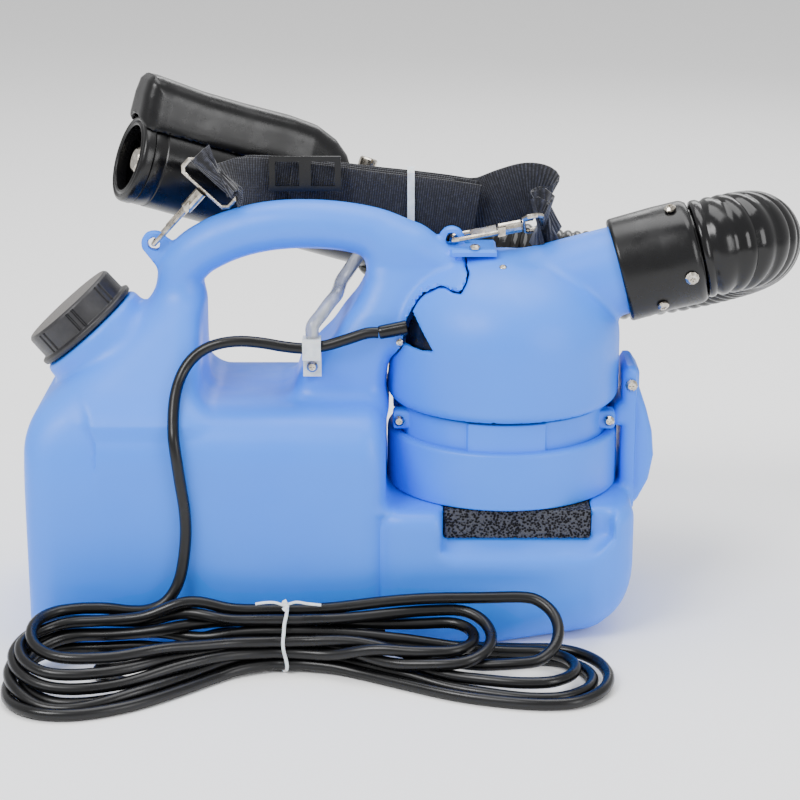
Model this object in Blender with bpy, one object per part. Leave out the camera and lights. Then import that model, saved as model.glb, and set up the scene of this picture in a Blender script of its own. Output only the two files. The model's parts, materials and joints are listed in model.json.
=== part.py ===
"""Electric ultra-low-volume cold fogger with a carrying-handle tank, a blower, a hose and a nozzle.

Frame: +X runs along the tank from the filler cap to the blower, +Y is the side away from the cable
clip, +Z is up, and the origin is the middle of the tank's flat underside. Lengths below are in
millimetres, and MM turns them into Blender's metres.
"""

import math

import bmesh
import bpy
from mathutils import Matrix, Vector

MM = 0.001
GAP = 0.3
WALL = 3.0

# Tank
TANK_LEFT = -199.0
TANK_RIGHT = 203.0
HALF_DEPTH = 84.0
BASE_TOP = 92.0
LEDGE_TOP = 157.0
BLOCK_END = 38.3
EAVES = 140.0
POST_X = (-115.0, -84.0)
POST_FOOT = 221.0
SCOOP_X = (75.0, 187.0)
FOAM_X = (76.0, 173.5)
FOAM_FLOOR = 71.5

# Filler neck and cap
NECK_FOOT = Vector((-162.0, 0.0, 197.0))
NECK_AXIS = Vector((-0.656, 0.0, 0.755)).normalized()
NECK_TOP = 15.5
NECK_RADIUS = 28.5
NECK_BORE = 24.0

# Blower
BLOWER_X = 117.0
RING_RADIUS = 77.9
RING_Z = (92.3, 131.0)
DOME_RADIUS = 78.2
DOME_Z = (150.0, 191.0, 248.0)
SPOUT_MOUTH = Vector((193.5, 0.0, 236.0))
SPOUT_TILT = math.radians(15.0)
SPOUT_AXIS = Vector((math.cos(SPOUT_TILT), 0.0, math.sin(SPOUT_TILT)))
SPOUT_RADIUS = 29.8
CUFF_LENGTH = 53.4
CUFF_RADIUS = 35.5

# Hose and nozzle
HOSE_RADIUS = 33.0
HOSE_BORE = 28.5
NOZZLE_MOUTH = Vector((-137.5, 45.0, 304.3))
NOZZLE_REAR = Vector((30.0, 112.4, 241.7))
NOZZLE_AXIS = (NOZZLE_MOUTH - NOZZLE_REAR).normalized()
NOZZLE_UP = (Vector((0, 0, 1)) - NOZZLE_AXIS * NOZZLE_AXIS.z).normalized()
BARREL_RADIUS = 29.75
CONNECTOR_LENGTH = 42.0
GRIP_HEIGHT = 58.0
GRIP_HALF_WIDTH = 20.0

# Cord
CORD_RADIUS = 3.8
GLAND_TIP = Vector((34.0, -46.0, 205.0))
GLAND_ROOT = Vector((61.0, -46.0, 206.0))
CORD_ROUTE = [
    (33.6, -46.0, 205.0), (26.0, -46.0, 204.6), (13.0, -46.5, 200.5), (0.0, -47.0, 196.6),
    (-14.0, -47.0, 194.5),
    (-28.0, -48.0, 196.0), (-42.0, -50.0, 199.0), (-56.0, -51.5, 200.6), (-69.0, -52.5, 199.4),
    (-80.0, -52.8, 195.3), (-89.0, -54.6, 188.0), (-95.0, -60.0, 178.5), (-98.0, -68.3, 168.0),
    (-98.7, -77.6, 156.0), (-97.8, -86.5, 144.5), (-96.0, -89.4, 131.0), (-94.0, -88.9, 114.0),
    (-92.0, -88.6, 98.0), (-91.5, -88.8, 82.0), (-93.0, -89.8, 66.0), (-96.0, -92.4, 53.0),
    (-99.5, -96.6, 43.5), (-102.0, -101.4, 38.3), (-103.0, -106.1, 36.4),
]
HANK_Z = (3.2, 42.0)
HANK_BACK = -108.0
HANK_WAIST_X = -26.0
HANK_OUTLINE = [
    (-203.0, -132.0), (-196.0, -118.0), (-178.0, -110.0), (-120.0, HANK_BACK), (HANK_WAIST_X, HANK_BACK),
    (60.0, HANK_BACK), (140.0, -108.0), (168.0, -115.0), (182.0, -130.0), (184.0, -150.0),
    (172.0, -172.0), (140.0, -188.0), (95.0, -192.0), (45.0, -180.0), (5.0, -160.0),
    (HANK_WAIST_X, -152.0), (-60.0, -160.0), (-100.0, -188.0), (-140.0, -204.0), (-175.0, -200.0),
    (-196.0, -182.0), (-204.0, -158.0),
]

# Liquid tube
TUBE_RADIUS = 4.5
TUBE_ROUTE = [
    (-9.6, -45.2, 202.0), (-9.4, -45.0, 209.0), (-4.0, -38.0, 215.0), (1.0, -28.0, 220.0),
    (5.0, -14.0, 222.0), (6.5, 2.0, 222.5), (8.0, 20.0, 224.0), (13.0, 38.0, 228.0),
    (20.0, 54.0, 236.0), (26.0, 63.0, 248.0),
]

# Hose centre line from the cuff round the back of the blower to the nozzle
HOSE_ROUTE = [
    (262.0, 1.0, 253.3), (278.0, 11.0, 254.0), (287.0, 31.0, 250.0), (289.0, 55.0, 242.0),
    (284.0, 80.0, 232.0), (268.0, 102.0, 221.0), (244.0, 116.0, 211.5), (212.0, 122.0, 205.0),
    (174.0, 122.0, 203.0), (135.0, 125.0, 208.0), (104.0, 127.5, 216.0),
]

# Strap: x, y, z of the middle of the folded bundle, and half its thickness
STRAP_HALF_HEIGHT = 19.0
STRAP_PATH = [
    (-84.0, 8.5, 295.0, 3.0), (-66.0, 18.0, 291.0, 4.5), (-40.0, 31.0, 288.0, 7.0),
    (0.0, 36.0, 283.0, 9.5), (29.0, 38.0, 279.0, 10.5), (55.0, 38.5, 276.0, 10.5),
    (83.0, 38.0, 272.5, 10.0), (112.0, 36.0, 268.0, 9.0),
]
ZIP_X = 55.0

# Snap hooks: the lug hole that each one passes through, its direction and its dee's direction
LEFT_LUG = Vector((-116.0, 0.0, 254.5))
LEFT_PULL = Vector((0.68, 0.0, 0.733)).normalized()
LEFT_DEE = Vector((-0.733, 0.0, 0.68)).normalized()
RIGHT_LUG = Vector((82.0, 0.0, 257.5))
RIGHT_PULL = Vector((0.982, 0.0, 0.19)).normalized()
RIGHT_DEE = Vector((-0.08, -0.90, 0.42)).normalized()
HOOK_SIDE = 8.0
HOOK_WIRE = 1.8

# Materials: colour, roughness, metallic
FINISHES = {
    "blue_plastic": ((0.17, 0.42, 0.90, 1.0), 0.42, 0.0),
    "black_plastic": ((0.012, 0.012, 0.014, 1.0), 0.35, 0.0),
    "black_rubber": ((0.015, 0.015, 0.016, 1.0), 0.55, 0.0),
    "black_webbing": ((0.014, 0.015, 0.02, 1.0), 0.8, 0.0),
    "black_foam": ((0.01, 0.01, 0.01, 1.0), 0.95, 0.0),
    "nickel": ((0.72, 0.70, 0.66, 1.0), 0.22, 1.0),
    "steel": ((0.45, 0.45, 0.46, 1.0), 0.35, 1.0),
    "copper": ((0.72, 0.30, 0.14, 1.0), 0.4, 1.0),
    "aluminium": ((0.78, 0.79, 0.80, 1.0), 0.35, 1.0),
    "clear_tube": ((0.72, 0.75, 0.77, 1.0), 0.25, 0.0),
    "white_nylon": ((0.85, 0.87, 0.9, 1.0), 0.45, 0.0),
    "carbon": ((0.03, 0.03, 0.03, 1.0), 0.7, 0.0),
    "grey_rubber": ((0.2, 0.2, 0.21, 1.0), 0.7, 0.0),
}


# ---------------------------------------------------------------- scene and materials

def clear_scene():
    for item in list(bpy.data.objects):
        bpy.data.objects.remove(item)


def finish(name):
    """The material of that finish, made on first use."""
    if name in bpy.data.materials:
        return bpy.data.materials[name]
    colour, roughness, metallic = FINISHES[name]
    material = bpy.data.materials.new(name)
    material.use_nodes = True
    shader = material.node_tree.nodes["Principled BSDF"]
    shader.inputs["Base Color"].default_value = colour
    shader.inputs["Roughness"].default_value = roughness
    shader.inputs["Metallic"].default_value = metallic
    material.diffuse_color = colour
    return material


def place(name, shape, finish_name, origin=(0, 0, 0)):
    """Turns a bmesh in millimetres into an object whose origin is the given point."""
    bmesh.ops.translate(shape, verts=shape.verts, vec=-Vector(origin))
    bmesh.ops.scale(shape, verts=shape.verts, vec=(MM, MM, MM))
    bmesh.ops.recalc_face_normals(shape, faces=shape.faces)
    mesh = bpy.data.meshes.new(name)
    shape.to_mesh(mesh)
    shape.free()
    mesh.materials.append(finish(finish_name))
    item = bpy.data.objects.new(name, mesh)
    item.location = Vector(origin) * MM
    bpy.context.scene.collection.objects.link(item)
    soften(item)
    return item


def soften(item):
    item.data.shade_smooth()
    item.data.set_sharp_from_angle(angle=math.radians(35))


# ---------------------------------------------------------------- shapes

def hull(points, grow=0.0):
    """The convex hull of points, grown on every side by the given margin."""
    shape = bmesh.new()
    offsets = [Vector((0, 0, 0))]
    if grow:
        offsets = [Vector((i, j, k)) * grow for i in (-1, 1) for j in (-1, 1) for k in (-1, 1)]
    for point in points:
        for offset in offsets:
            shape.verts.new(Vector(point) + offset)
    made = bmesh.ops.convex_hull(shape, input=shape.verts)
    spare = set(made["geom_interior"] + made["geom_unused"])
    loose = [v for v in spare if isinstance(v, bmesh.types.BMVert)]
    bmesh.ops.delete(shape, geom=loose, context="VERTS")
    bmesh.ops.dissolve_limit(shape, angle_limit=0.01, verts=shape.verts, edges=shape.edges)
    return shape


def box(low, high):
    return hull([(x, y, z) for x in (low[0], high[0]) for y in (low[1], high[1])
                 for z in (low[2], high[2])])


def axis_frame(axis):
    """Two unit vectors across an axis."""
    axis = Vector(axis).normalized()
    seed = Vector((0, 0, 1)) if abs(axis.z) < 0.9 else Vector((1, 0, 0))
    side = axis.cross(seed).normalized()
    return side, axis.cross(side).normalized()


def lathe(profile, origin, axis, steps=32):
    """A closed loop of (radius, distance along the axis) turned round the axis."""
    shape = bmesh.new()
    axis = Vector(axis).normalized()
    side, up = axis_frame(axis)
    columns = []
    for radius, along in profile:
        centre = Vector(origin) + axis * along
        if radius < 1e-6:
            columns.append([shape.verts.new(centre)] * steps)
            continue
        turns = (2 * math.pi * i / steps for i in range(steps))
        columns.append([shape.verts.new(centre + (side * math.cos(t) + up * math.sin(t)) * radius)
                        for t in turns])
    for here, there in zip(columns, columns[1:] + columns[:1]):
        bridge(shape, here, there)
    return shape


def bridge(shape, here, there):
    """Joins two rings of vertices with faces, skipping edges that have no length."""
    count = len(here)
    for i in range(count):
        j = (i + 1) % count
        corners = []
        for vertex in (here[i], here[j], there[j], there[i]):
            if vertex not in corners:
                corners.append(vertex)
        if len(corners) > 2:
            shape.faces.new(corners)


def rod(radius, start, end, steps=16):
    start = Vector(start)
    length = (Vector(end) - start).length
    return lathe([(0, 0), (radius, 0), (radius, length), (0, length)], start, Vector(end) - start, steps)


def pipe(outer, inner, start, end, steps=32):
    start = Vector(start)
    length = (Vector(end) - start).length
    loop = [(inner, 0), (outer, 0), (outer, length), (inner, length)]
    return lathe(loop, start, Vector(end) - start, steps)


def prism(outline, start, end, axis="y"):
    """An outline of (x, z), or of (x, y) for axis z, carried from start to end."""
    shape = bmesh.new()
    rings = []
    for depth in (start, end):
        corners = [(a, depth, b) if axis == "y" else (a, b, depth) for a, b in outline]
        rings.append([shape.verts.new(corner) for corner in corners])
        shape.faces.new(rings[-1])
    bridge(shape, rings[0], rings[1])
    return shape


def smooth_path(route, count):
    """Points at equal steps along a Catmull-Rom curve through the route."""
    points = [Vector(p) for p in route]
    points = [points[0] * 2 - points[1]] + points + [points[-1] * 2 - points[-2]]
    fine = []
    for a, b, c, d in zip(points, points[1:], points[2:], points[3:]):
        for step in range(12):
            t = step / 12
            fine.append((b * 2 + (c - a) * t + (a * 2 - b * 5 + c * 4 - d) * t ** 2
                         + (b * 3 - a - c * 3 + d) * t ** 3) / 2)
    fine.append(points[-2])
    reach = [0.0]
    for a, b in zip(fine, fine[1:]):
        reach.append(reach[-1] + (b - a).length)
    even, spot = [], 0
    for i in range(count):
        goal = reach[-1] * i / (count - 1)
        while spot < len(fine) - 2 and reach[spot + 1] < goal:
            spot += 1
        share = (goal - reach[spot]) / (reach[spot + 1] - reach[spot])
        even.append(fine[spot].lerp(fine[spot + 1], min(share, 1.0)))
    return even


def path_frames(path):
    """(point, across, up) at each point, with as little twist as the path allows."""
    frames = []
    side = None
    for i, point in enumerate(path):
        ahead = (path[min(i + 1, len(path) - 1)] - path[max(i - 1, 0)]).normalized()
        if side is None:
            side = axis_frame(ahead)[0]
        side = (side - ahead * side.dot(ahead)).normalized()
        frames.append((point, side, ahead.cross(side).normalized()))
    return frames


def ring_of(frame, radius, steps):
    point, side, up = frame
    turns = (2 * math.pi * i / steps for i in range(steps))
    return [point + side * (radius * math.cos(t)) + up * (radius * math.sin(t)) for t in turns]


def tube_mesh(path, outer, inner=0.0, steps=24, closed=False):
    """A round tube along a path: hollow when it has an inner radius, endless when closed."""
    shape = bmesh.new()
    frames = path_frames(path)
    outside = [[shape.verts.new(p) for p in ring_of(f, outer, steps)] for f in frames]
    for here, there in zip(outside, outside[1:]):
        bridge(shape, here, there)
    if closed:
        bridge(shape, outside[-1], outside[0])
        return shape
    if not inner:
        shape.faces.new(outside[0])
        shape.faces.new(outside[-1])
        return shape
    inside = [[shape.verts.new(p) for p in ring_of(f, inner, steps)] for f in frames]
    for here, there in zip(inside, inside[1:]):
        bridge(shape, here, there)
    bridge(shape, inside[0], outside[0])
    bridge(shape, inside[-1], outside[-1])
    return shape


def lofted(rings):
    """A closed solid through rings of the same number of points."""
    shape = bmesh.new()
    made = [[shape.verts.new(p) for p in ring] for ring in rings]
    for here, there in zip(made, made[1:]):
        bridge(shape, here, there)
    shape.faces.new(made[0])
    shape.faces.new(made[-1])
    return shape


# ---------------------------------------------------------------- booleans

def combine(target, tool_shape, operation):
    """Joins a shape to the target, or cuts it away, and keeps the result as plain mesh."""
    tool = place("tool", tool_shape, "steel")
    change = target.modifiers.new("change", "BOOLEAN")
    change.operation = operation
    change.solver = "EXACT"
    change.object = tool
    graph = bpy.context.evaluated_depsgraph_get()
    result = bpy.data.meshes.new_from_object(target.evaluated_get(graph))
    old = target.data
    target.modifiers.clear()
    target.data = result
    bpy.data.meshes.remove(old)
    bpy.data.objects.remove(tool)
    result.name = target.name
    soften(target)


def join(target, *shapes):
    for shape in shapes:
        combine(target, shape, "UNION")


def cut(target, *shapes):
    for shape in shapes:
        combine(target, shape, "DIFFERENCE")


# ---------------------------------------------------------------- tank

def plan(left, right, half, left_radius, right_radius, height):
    """A rectangle with rounded corners in the XY plane at a height."""
    points = []
    for x, radius, start in ((left, left_radius, 90), (right, right_radius, 0)):
        way = 1 if x == left else -1
        for step in range(4 if radius else 1):
            turn = math.radians(start + 30 * step)
            for side in (1, -1):
                bend_x = way * radius + radius * math.cos(turn)
                bend_y = half - radius + radius * math.sin(turn)
                if not radius:
                    bend_x, bend_y = 0.0, half
                points.append((x + bend_x, side * bend_y, height))
    return points


def filler_block(inset):
    """The tall left end: upright to the eaves, then a roof that closes on the handle's post."""
    left = TANK_LEFT + inset
    half = HALF_DEPTH - inset
    right = POST_X[1] - inset
    points = plan(left + 9, right, half - 9, 22, 0, inset)
    points += plan(left, right, half, 30 - inset, 0, 12 + inset / 3)
    points += plan(left, right, half, 30 - inset, 0, 126 - inset / 2)
    points += plan(left + 1, right, half, 44 - inset, 0, EAVES - 2 * inset)
    drop = 1.3 * inset
    for side in (1, -1):
        points.append((left + 5, side * (50 - inset), 150 - drop))
        points.append((POST_X[0], side * (20 - inset), POST_FOOT - drop))
        points += [(right, side * (20 - inset), POST_FOOT - drop)]
    return hull(points)


def ledge_block(inset):
    """The middle block below the hand gap."""
    left, right, half, top = -100 + inset, BLOCK_END - inset, HALF_DEPTH - inset, LEDGE_TOP - inset
    points = plan(left, right, half - 9, 0, 0, inset) + plan(left, right, half, 0, 0, 12)
    for step in range(4):
        turn = math.radians(30 * step)
        points += plan(left, right, half - 32 + 32 * math.cos(turn), 0, 0, top - 32 + 32 * math.sin(turn))
    return hull(points)


def base_block():
    """The low right end that carries the blower."""
    points = plan(20, TANK_RIGHT - 10, HALF_DEPTH - 9, 0, 24, 0)
    points += plan(20, TANK_RIGHT, HALF_DEPTH, 0, 32, 13)
    points += plan(20, TANK_RIGHT, HALF_DEPTH, 0, 32, BASE_TOP - 13)
    points += plan(20, TANK_RIGHT - 4, HALF_DEPTH - 4, 0, 30, BASE_TOP - 4)
    points += plan(20, TANK_RIGHT - 13, HALF_DEPTH - 13, 0, 24, BASE_TOP)
    return hull(points)


def base_hollows():
    """The liquid space under and beside the filter's pocket."""
    top = BASE_TOP - WALL
    half = HALF_DEPTH - WALL
    left = hull(plan(0, FOAM_X[0] - 5, half, 0, 0, 12) + plan(0, FOAM_X[0] - 5, half - 9, 0, 0, top)
                + plan(0, FOAM_X[0] - 5, half - 9, 0, 0, WALL))
    middle = hull(plan(20, TANK_RIGHT - 13, half - 9, 0, 22, WALL)
                  + plan(20, TANK_RIGHT - WALL, half, 0, 29, 13)
                  + plan(20, TANK_RIGHT - WALL, half, 0, 29, 56))
    right = box((SCOOP_X[1] + 4, 22 - half, 40), (TANK_RIGHT - WALL - 1, half - 22, top - 2))
    return left, middle, right


def column():
    """The upright at the far right that clamps the blower's lug."""
    points = [(x, y, z) for x in (197, 208) for y in (-24, 24) for z in (86, 170)]
    points += [(x, y, 76) for x in (197, 202) for y in (-24, 24)]
    points += [(x, y, 175) for x in (197, 204) for y in (-19, 19)]
    arch = [(202, 74), (209, 80), (216, 94), (219, 111), (217.5, 128), (213.5, 141), (207, 152)]
    bulge = [(x, side * 18, z) for x, z in arch for side in (1, -1)]
    bulge += [(x - 3, side * 22, z) for x, z in arch for side in (1, -1)]
    bulge += [(199, side * 22, z) for z in (74, 152) for side in (1, -1)]
    lobe = box((189.2, -14, 132), (199, 14, 148))
    return hull(points), hull(bulge), lobe


def handle_arch():
    """The post and the grip of the handle, as rings along its centre line: x, z, half width, half depth."""
    stations = [(-99.5, 196, 15.5, 19), (-99.5, 226, 15.5, 16.5), (-92.5, 243.5, 16, 16),
                (-78, 254, 16.3, 16), (-58, 262, 16.3, 16), (-35, 266.6, 16.3, 16),
                (-10, 267.5, 16.2, 16), (14, 265.3, 16.2, 16), (34, 260, 17, 17), (52, 251, 19, 18)]
    rings = []
    for i, (x, z, wide, deep) in enumerate(stations):
        before, after = stations[max(i - 1, 0)], stations[min(i + 1, len(stations) - 1)]
        ahead = Vector((after[0] - before[0], 0, after[1] - before[1])).normalized()
        across = Vector((-ahead.z, 0, ahead.x))
        ring = []
        for step in range(12):
            turn = 2 * math.pi * step / 12
            blunt = lambda v: math.copysign(abs(v) ** 0.75, v)
            ring.append(Vector((x, 0, z)) + across * (wide * blunt(math.cos(turn)))
                        + Vector((0, deep * blunt(math.sin(turn)), 0)))
        rings.append(ring)
    return lofted(rings)


def leg_points():
    """The handle's right leg as two convex bodies: the broad foot, and the neck that rises to the grip."""
    foot = []
    for x, z in [(-24, 150), (-20, 175), (-3, 192), (8, 206), (50, 209), (47, 193), (40, 181), (36.5, 150)]:
        foot += [(x, y, z) for y in (-36, 36)]
    foot += [(x, y, z) for x, z in [(-18, 152), (-14, 172), (36, 152), (44, 200), (10, 204)]
             for y in (-39, 39)]
    neck = [(x, y, z) for x, z in [(8, 206), (12, 214), (52, 214), (50, 209)] for y in (-36, 36)]
    neck += [(x, y, z) for x, z in [(18, 228), (66, 229), (60, 224)] for y in (-30, 30)]
    neck += [(x, y, z) for x, z in [(25, 243), (36, 262), (58, 262), (78, 255), (91, 243), (88, 236)]
             for y in (-17, 17)]
    return foot, neck


def lug(hole, root):
    """A flat strap eye: round about its hole, and rooted in the handle."""
    points = []
    for step in range(10):
        turn = 2 * math.pi * step / 10
        points += [(hole.x + 8.5 * math.cos(turn), y, hole.z + 8.5 * math.sin(turn)) for y in (-4, 4)]
    points += [(x, y, z) for x, z in root for y in (-4, 4)]
    return hull(points)


def scoop(side):
    """The recess in the base that lets air in to the filter, on one side."""
    left, right = SCOOP_X
    near, far = side * (HALF_DEPTH + 4), side * (HALF_DEPTH - 17)
    points = [(left, near, 66), (left + 10, near, 60), (right - 14, near, 60), (right, near, 74)]
    points += [(left, near, BASE_TOP + 4), (right, near, BASE_TOP + 4)]
    points += [(left, far, BASE_TOP + 4), (right, far, BASE_TOP + 4)]
    points += [(left + 2, far, FOAM_FLOOR), (right - 8, far, FOAM_FLOOR), (right, far, 82)]
    return hull(points)


def make_tank():
    tank = place("tank_shell", filler_block(0), "blue_plastic")
    foot, neck = leg_points()
    join(tank, ledge_block(0), base_block(), *column(), handle_arch(), hull(foot), hull(neck))
    join(tank, box((80, -18, 249), (112, 18, 253.5)))
    join(tank, lug(LEFT_LUG, [(-98, 254), (-100, 240), (-114, 238)]), lug(RIGHT_LUG, [(66, 250), (94, 250)]))
    boss = lathe([(0, -24), (40, -24), (39, -3), (36, -0.6), (0, -0.6)], NECK_FOOT, NECK_AXIS, 28)
    neck_side = [(0, -6), (NECK_RADIUS, -6), (NECK_RADIUS, NECK_TOP), (0, NECK_TOP)]
    pipe_neck = lathe(neck_side, NECK_FOOT, NECK_AXIS, 24)
    join(tank, boss, pipe_neck)
    cut(tank, filler_block(WALL), ledge_block(WALL), *base_hollows())
    cut(tank, lathe([(0, -34), (NECK_BORE, -34), (NECK_BORE, NECK_TOP + 3), (0, NECK_TOP + 3)],
                    NECK_FOOT, NECK_AXIS, 24))
    cut(tank, box((FOAM_X[0], -88, FOAM_FLOOR), (FOAM_X[1], 88, BASE_TOP + 5)), scoop(1), scoop(-1))
    for hole in (LEFT_LUG, RIGHT_LUG):
        cut(tank, rod(4.2, hole - Vector((0, 9, 0)), hole + Vector((0, 9, 0)), 14))
    return tank


def make_filler():
    gasket = [(0, NECK_TOP + GAP), (NECK_RADIUS - 0.3, NECK_TOP + GAP), (NECK_RADIUS - 0.3, 17.5), (0, 17.5)]
    place("cap_gasket", lathe(gasket, NECK_FOOT, NECK_AXIS, 24), "grey_rubber", NECK_FOOT)
    cap = [(0, 17.8), (29.2, 17.8), (29.2, 0), (38, 0), (38.3, 1), (38, 3.4), (35, 4.6), (34.7, 19),
           (33, 21), (0, 21.4)]
    place("tank_cap", lathe(cap, NECK_FOOT, NECK_AXIS, 28), "black_plastic", NECK_FOOT)
    tube = smooth_path([(-22, -20, 152.6), (-24, -16, 120), (-30, -8, 80), (-34, 0, 40), (-36, 0, 15.4)], 12)
    place("dip_tube", tube_mesh(tube, 4.0, 0, 8), "clear_tube")
    weight = [(0, 3.6), (9, 3.6), (9, 12), (5, 15), (0, 15)]
    place("suction_strainer", lathe(weight, (-36, 0, 0), (0, 0, 1), 16),
          "white_nylon")


# ---------------------------------------------------------------- blower

def blower_point(z, x=0.0, y=0.0):
    return Vector((BLOWER_X + x, y, z))


def dome_profile(inset):
    bottom, spring, top = DOME_Z
    loop = [(0, bottom - (1 if inset else 0)), (DOME_RADIUS - inset, bottom - (1 if inset else 0))]
    for step in range(7):
        turn = math.radians(15 * step)
        height = spring + (top - spring - inset) * math.sin(turn)
        loop.append(((DOME_RADIUS - inset) * math.cos(turn), height))
    loop[-1] = (0, top - inset)
    return loop


def spout_shape(inset):
    root = SPOUT_MOUTH - SPOUT_AXIS * (72 - inset)
    reach = 95 + (1 - inset if inset else 0)
    loop = [(0, 0), (26 - inset, 0), (SPOUT_RADIUS + 1 - inset, 40), (SPOUT_RADIUS - inset, 70),
            (SPOUT_RADIUS - inset, reach), (0, reach)]
    return lathe(loop, root, SPOUT_AXIS, 26)


def make_dome():
    dome = place("blower_dome", lathe(dome_profile(0), (BLOWER_X, 0, 0), (0, 0, 1), 36), "blue_plastic")
    join(dome, spout_shape(0))
    cut(dome, lathe(dome_profile(WALL), (BLOWER_X, 0, 0), (0, 0, 1), 36), spout_shape(WALL))
    foot, neck = leg_points()
    cut(dome, hull(foot, 0.5), hull(neck, 0.5))
    cut(dome, box((70, -18.5, 248.5), (112.5, 18.5, 256)))
    cut(dome, rod(6.5, GLAND_TIP, GLAND_ROOT + Vector((10, 0, 0)), 16))
    return dome


def make_blower_shells():
    low, high = RING_Z
    loop = [(25, low), (RING_RADIUS, low), (RING_RADIUS, high - 3), (RING_RADIUS - 3, high),
            (RING_RADIUS - 6, high), (RING_RADIUS - 6, low + 3), (25, low + 3)]
    place("blower_ring", lathe(loop, (BLOWER_X, 0, 0), (0, 0, 1), 36), "blue_plastic")
    skirt = pipe(70.5, 67.0, blower_point(122), blower_point(DOME_Z[0] - GAP), 28)
    plate = place("motor_flange", skirt, "blue_plastic")
    for x in (-1, 1):
        ear = hull([(BLOWER_X + x * a, y, z) for a in (60, 74.5) for y in (-31, -18) for z in (134, 147)])
        join(plate, ear)
    cut(plate, rod(67.0, blower_point(120), blower_point(152), 28))
    make_dome()


def ring_node(name, outer, inner, low, high, finish_name, steps=20):
    return place(name, pipe(outer, inner, blower_point(low), blower_point(high), steps), finish_name)


def rotor_node(name, shape, finish_name):
    return place(name, shape, finish_name, blower_point(0))


def make_motor():
    shroud = [(22, 95.8), (66, 95.8), (66, 127), (64.6, 127), (64.6, 97.3), (22, 97.3)]
    place("fan_shroud", lathe(shroud, (BLOWER_X, 0, 0), (0, 0, 1), 24), "aluminium")
    ring_node("rubber_mount", 71.5, 66.4, 96.2, 112, "black_rubber", 24)
    diffuser = ring_node("diffuser_plate", 64.2, 11.6, 121.5, 124, "aluminium", 24)
    for step in range(6):
        turn = 2 * math.pi * (step + 0.5) / 6
        spot = Vector((54 * math.cos(turn), 54 * math.sin(turn), 0))
        cut(diffuser, rod(7, blower_point(119) + spot, blower_point(127) + spot, 8))
    ring_node("lower_bearing", 11.0, 4.4, 121.0, 128.0, "steel")
    stator = ring_node("motor_stator", 44, 26, 130, 182, "steel")
    for step in range(3):
        turn = 2 * math.pi * step / 3 + 0.5
        spot = Vector((38 * math.cos(turn), 38 * math.sin(turn), 0))
        join(stator, rod(4, blower_point(124.3) + spot, blower_point(131) + spot, 10))
    bar_plan = [(-42, 8), (42, 8), (0, 15)]
    bridge_bar = hull([(BLOWER_X + x, side * y, z) for x, y in bar_plan for side in (-1, 1)
                       for z in (196, 203)])
    bracket = place("motor_bracket", bridge_bar, "aluminium")
    for x in (-38, 38):
        join(bracket, box((BLOWER_X + x - 4, -8, 182.3), (BLOWER_X + x + 4, 8, 198)))
    cut(bracket, rod(9.4, blower_point(190), blower_point(206), 24))
    ring_node("upper_bearing", 9.0, 4.4, 196.5, 203.5, "steel")
    for name, x in (("brush_left", -1), ("brush_right", 1)):
        low, high = sorted((x * 12.4, x * 33.6))
        place(name, box((BLOWER_X + low, -3.5, 184.5), (BLOWER_X + high, 3.5, 193)), "carbon")
    make_rotor()


def make_rotor():
    rotor_node("motor_shaft", rod(4.0, blower_point(99), blower_point(206), 16), "steel")
    rotor_node("armature", pipe(25.0, 4.4, blower_point(134), blower_point(178), 18), "copper")
    rotor_node("commutator", pipe(12.0, 4.4, blower_point(183.5), blower_point(194), 16), "copper")
    fan = rotor_node("impeller", pipe(60, 4.4, blower_point(116), blower_point(118), 24), "aluminium")
    join(fan, pipe(10, 4.4, blower_point(104), blower_point(117), 16))
    for step in range(6):
        turn = Matrix.Rotation(2 * math.pi * step / 6, 3, "Z")
        vane = [(18, 0), (36, 5), (56, 18), (56, 20), (36, 7), (18, 2)]
        corners = [turn @ Vector((x, y, 0)) for x, y in vane]
        outline = [(BLOWER_X + c.x, c.y) for c in corners]
        join(fan, prism(outline, 102, 116.6, "z"))
    rotor_node("impeller_nut", pipe(7.5, 4.9, blower_point(100), blower_point(103.6), 6), "steel")


def make_filter():
    low, high = FOAM_X
    place("filter_foam", box((low + 0.5, -73, FOAM_FLOOR + GAP), (high - 0.5, 73, BASE_TOP)), "black_foam")


# ---------------------------------------------------------------- hose and nozzle

def make_hose():
    start, end = SPOUT_MOUTH, SPOUT_MOUTH + SPOUT_AXIS * CUFF_LENGTH
    loop = [(SPOUT_RADIUS + 0.4, 0), (CUFF_RADIUS - 1, 0), (CUFF_RADIUS, 1.5),
            (CUFF_RADIUS, CUFF_LENGTH - 3), (CUFF_RADIUS - 3, CUFF_LENGTH),
            (HOSE_BORE, CUFF_LENGTH), (HOSE_BORE, 26), (SPOUT_RADIUS + 0.4, 26)]
    place("hose_cuff", lathe(loop, start, SPOUT_AXIS, 24), "black_rubber")
    rear = NOZZLE_REAR - NOZZLE_AXIS * CONNECTOR_LENGTH
    route = [end - SPOUT_AXIS * 8] + HOSE_ROUTE + [rear - NOZZLE_AXIS * 12, rear + NOZZLE_AXIS * 8]
    wall = tube_mesh(smooth_path(route, 26), HOSE_RADIUS, HOSE_BORE, 16)
    hose = place("flexible_hose", wall, "black_plastic")
    for face, way in ((end, SPOUT_AXIS), (rear, -NOZZLE_AXIS)):
        cut(hose, rod(45, face - way * 25, face + way * GAP, 16))


def nozzle_point(along, across=0.0, up=0.0):
    """A point by its distances behind the nozzle's mouth, and across and above its axis."""
    side = NOZZLE_AXIS.cross(NOZZLE_UP)
    return NOZZLE_MOUTH - NOZZLE_AXIS * along + side * across + NOZZLE_UP * up


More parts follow.
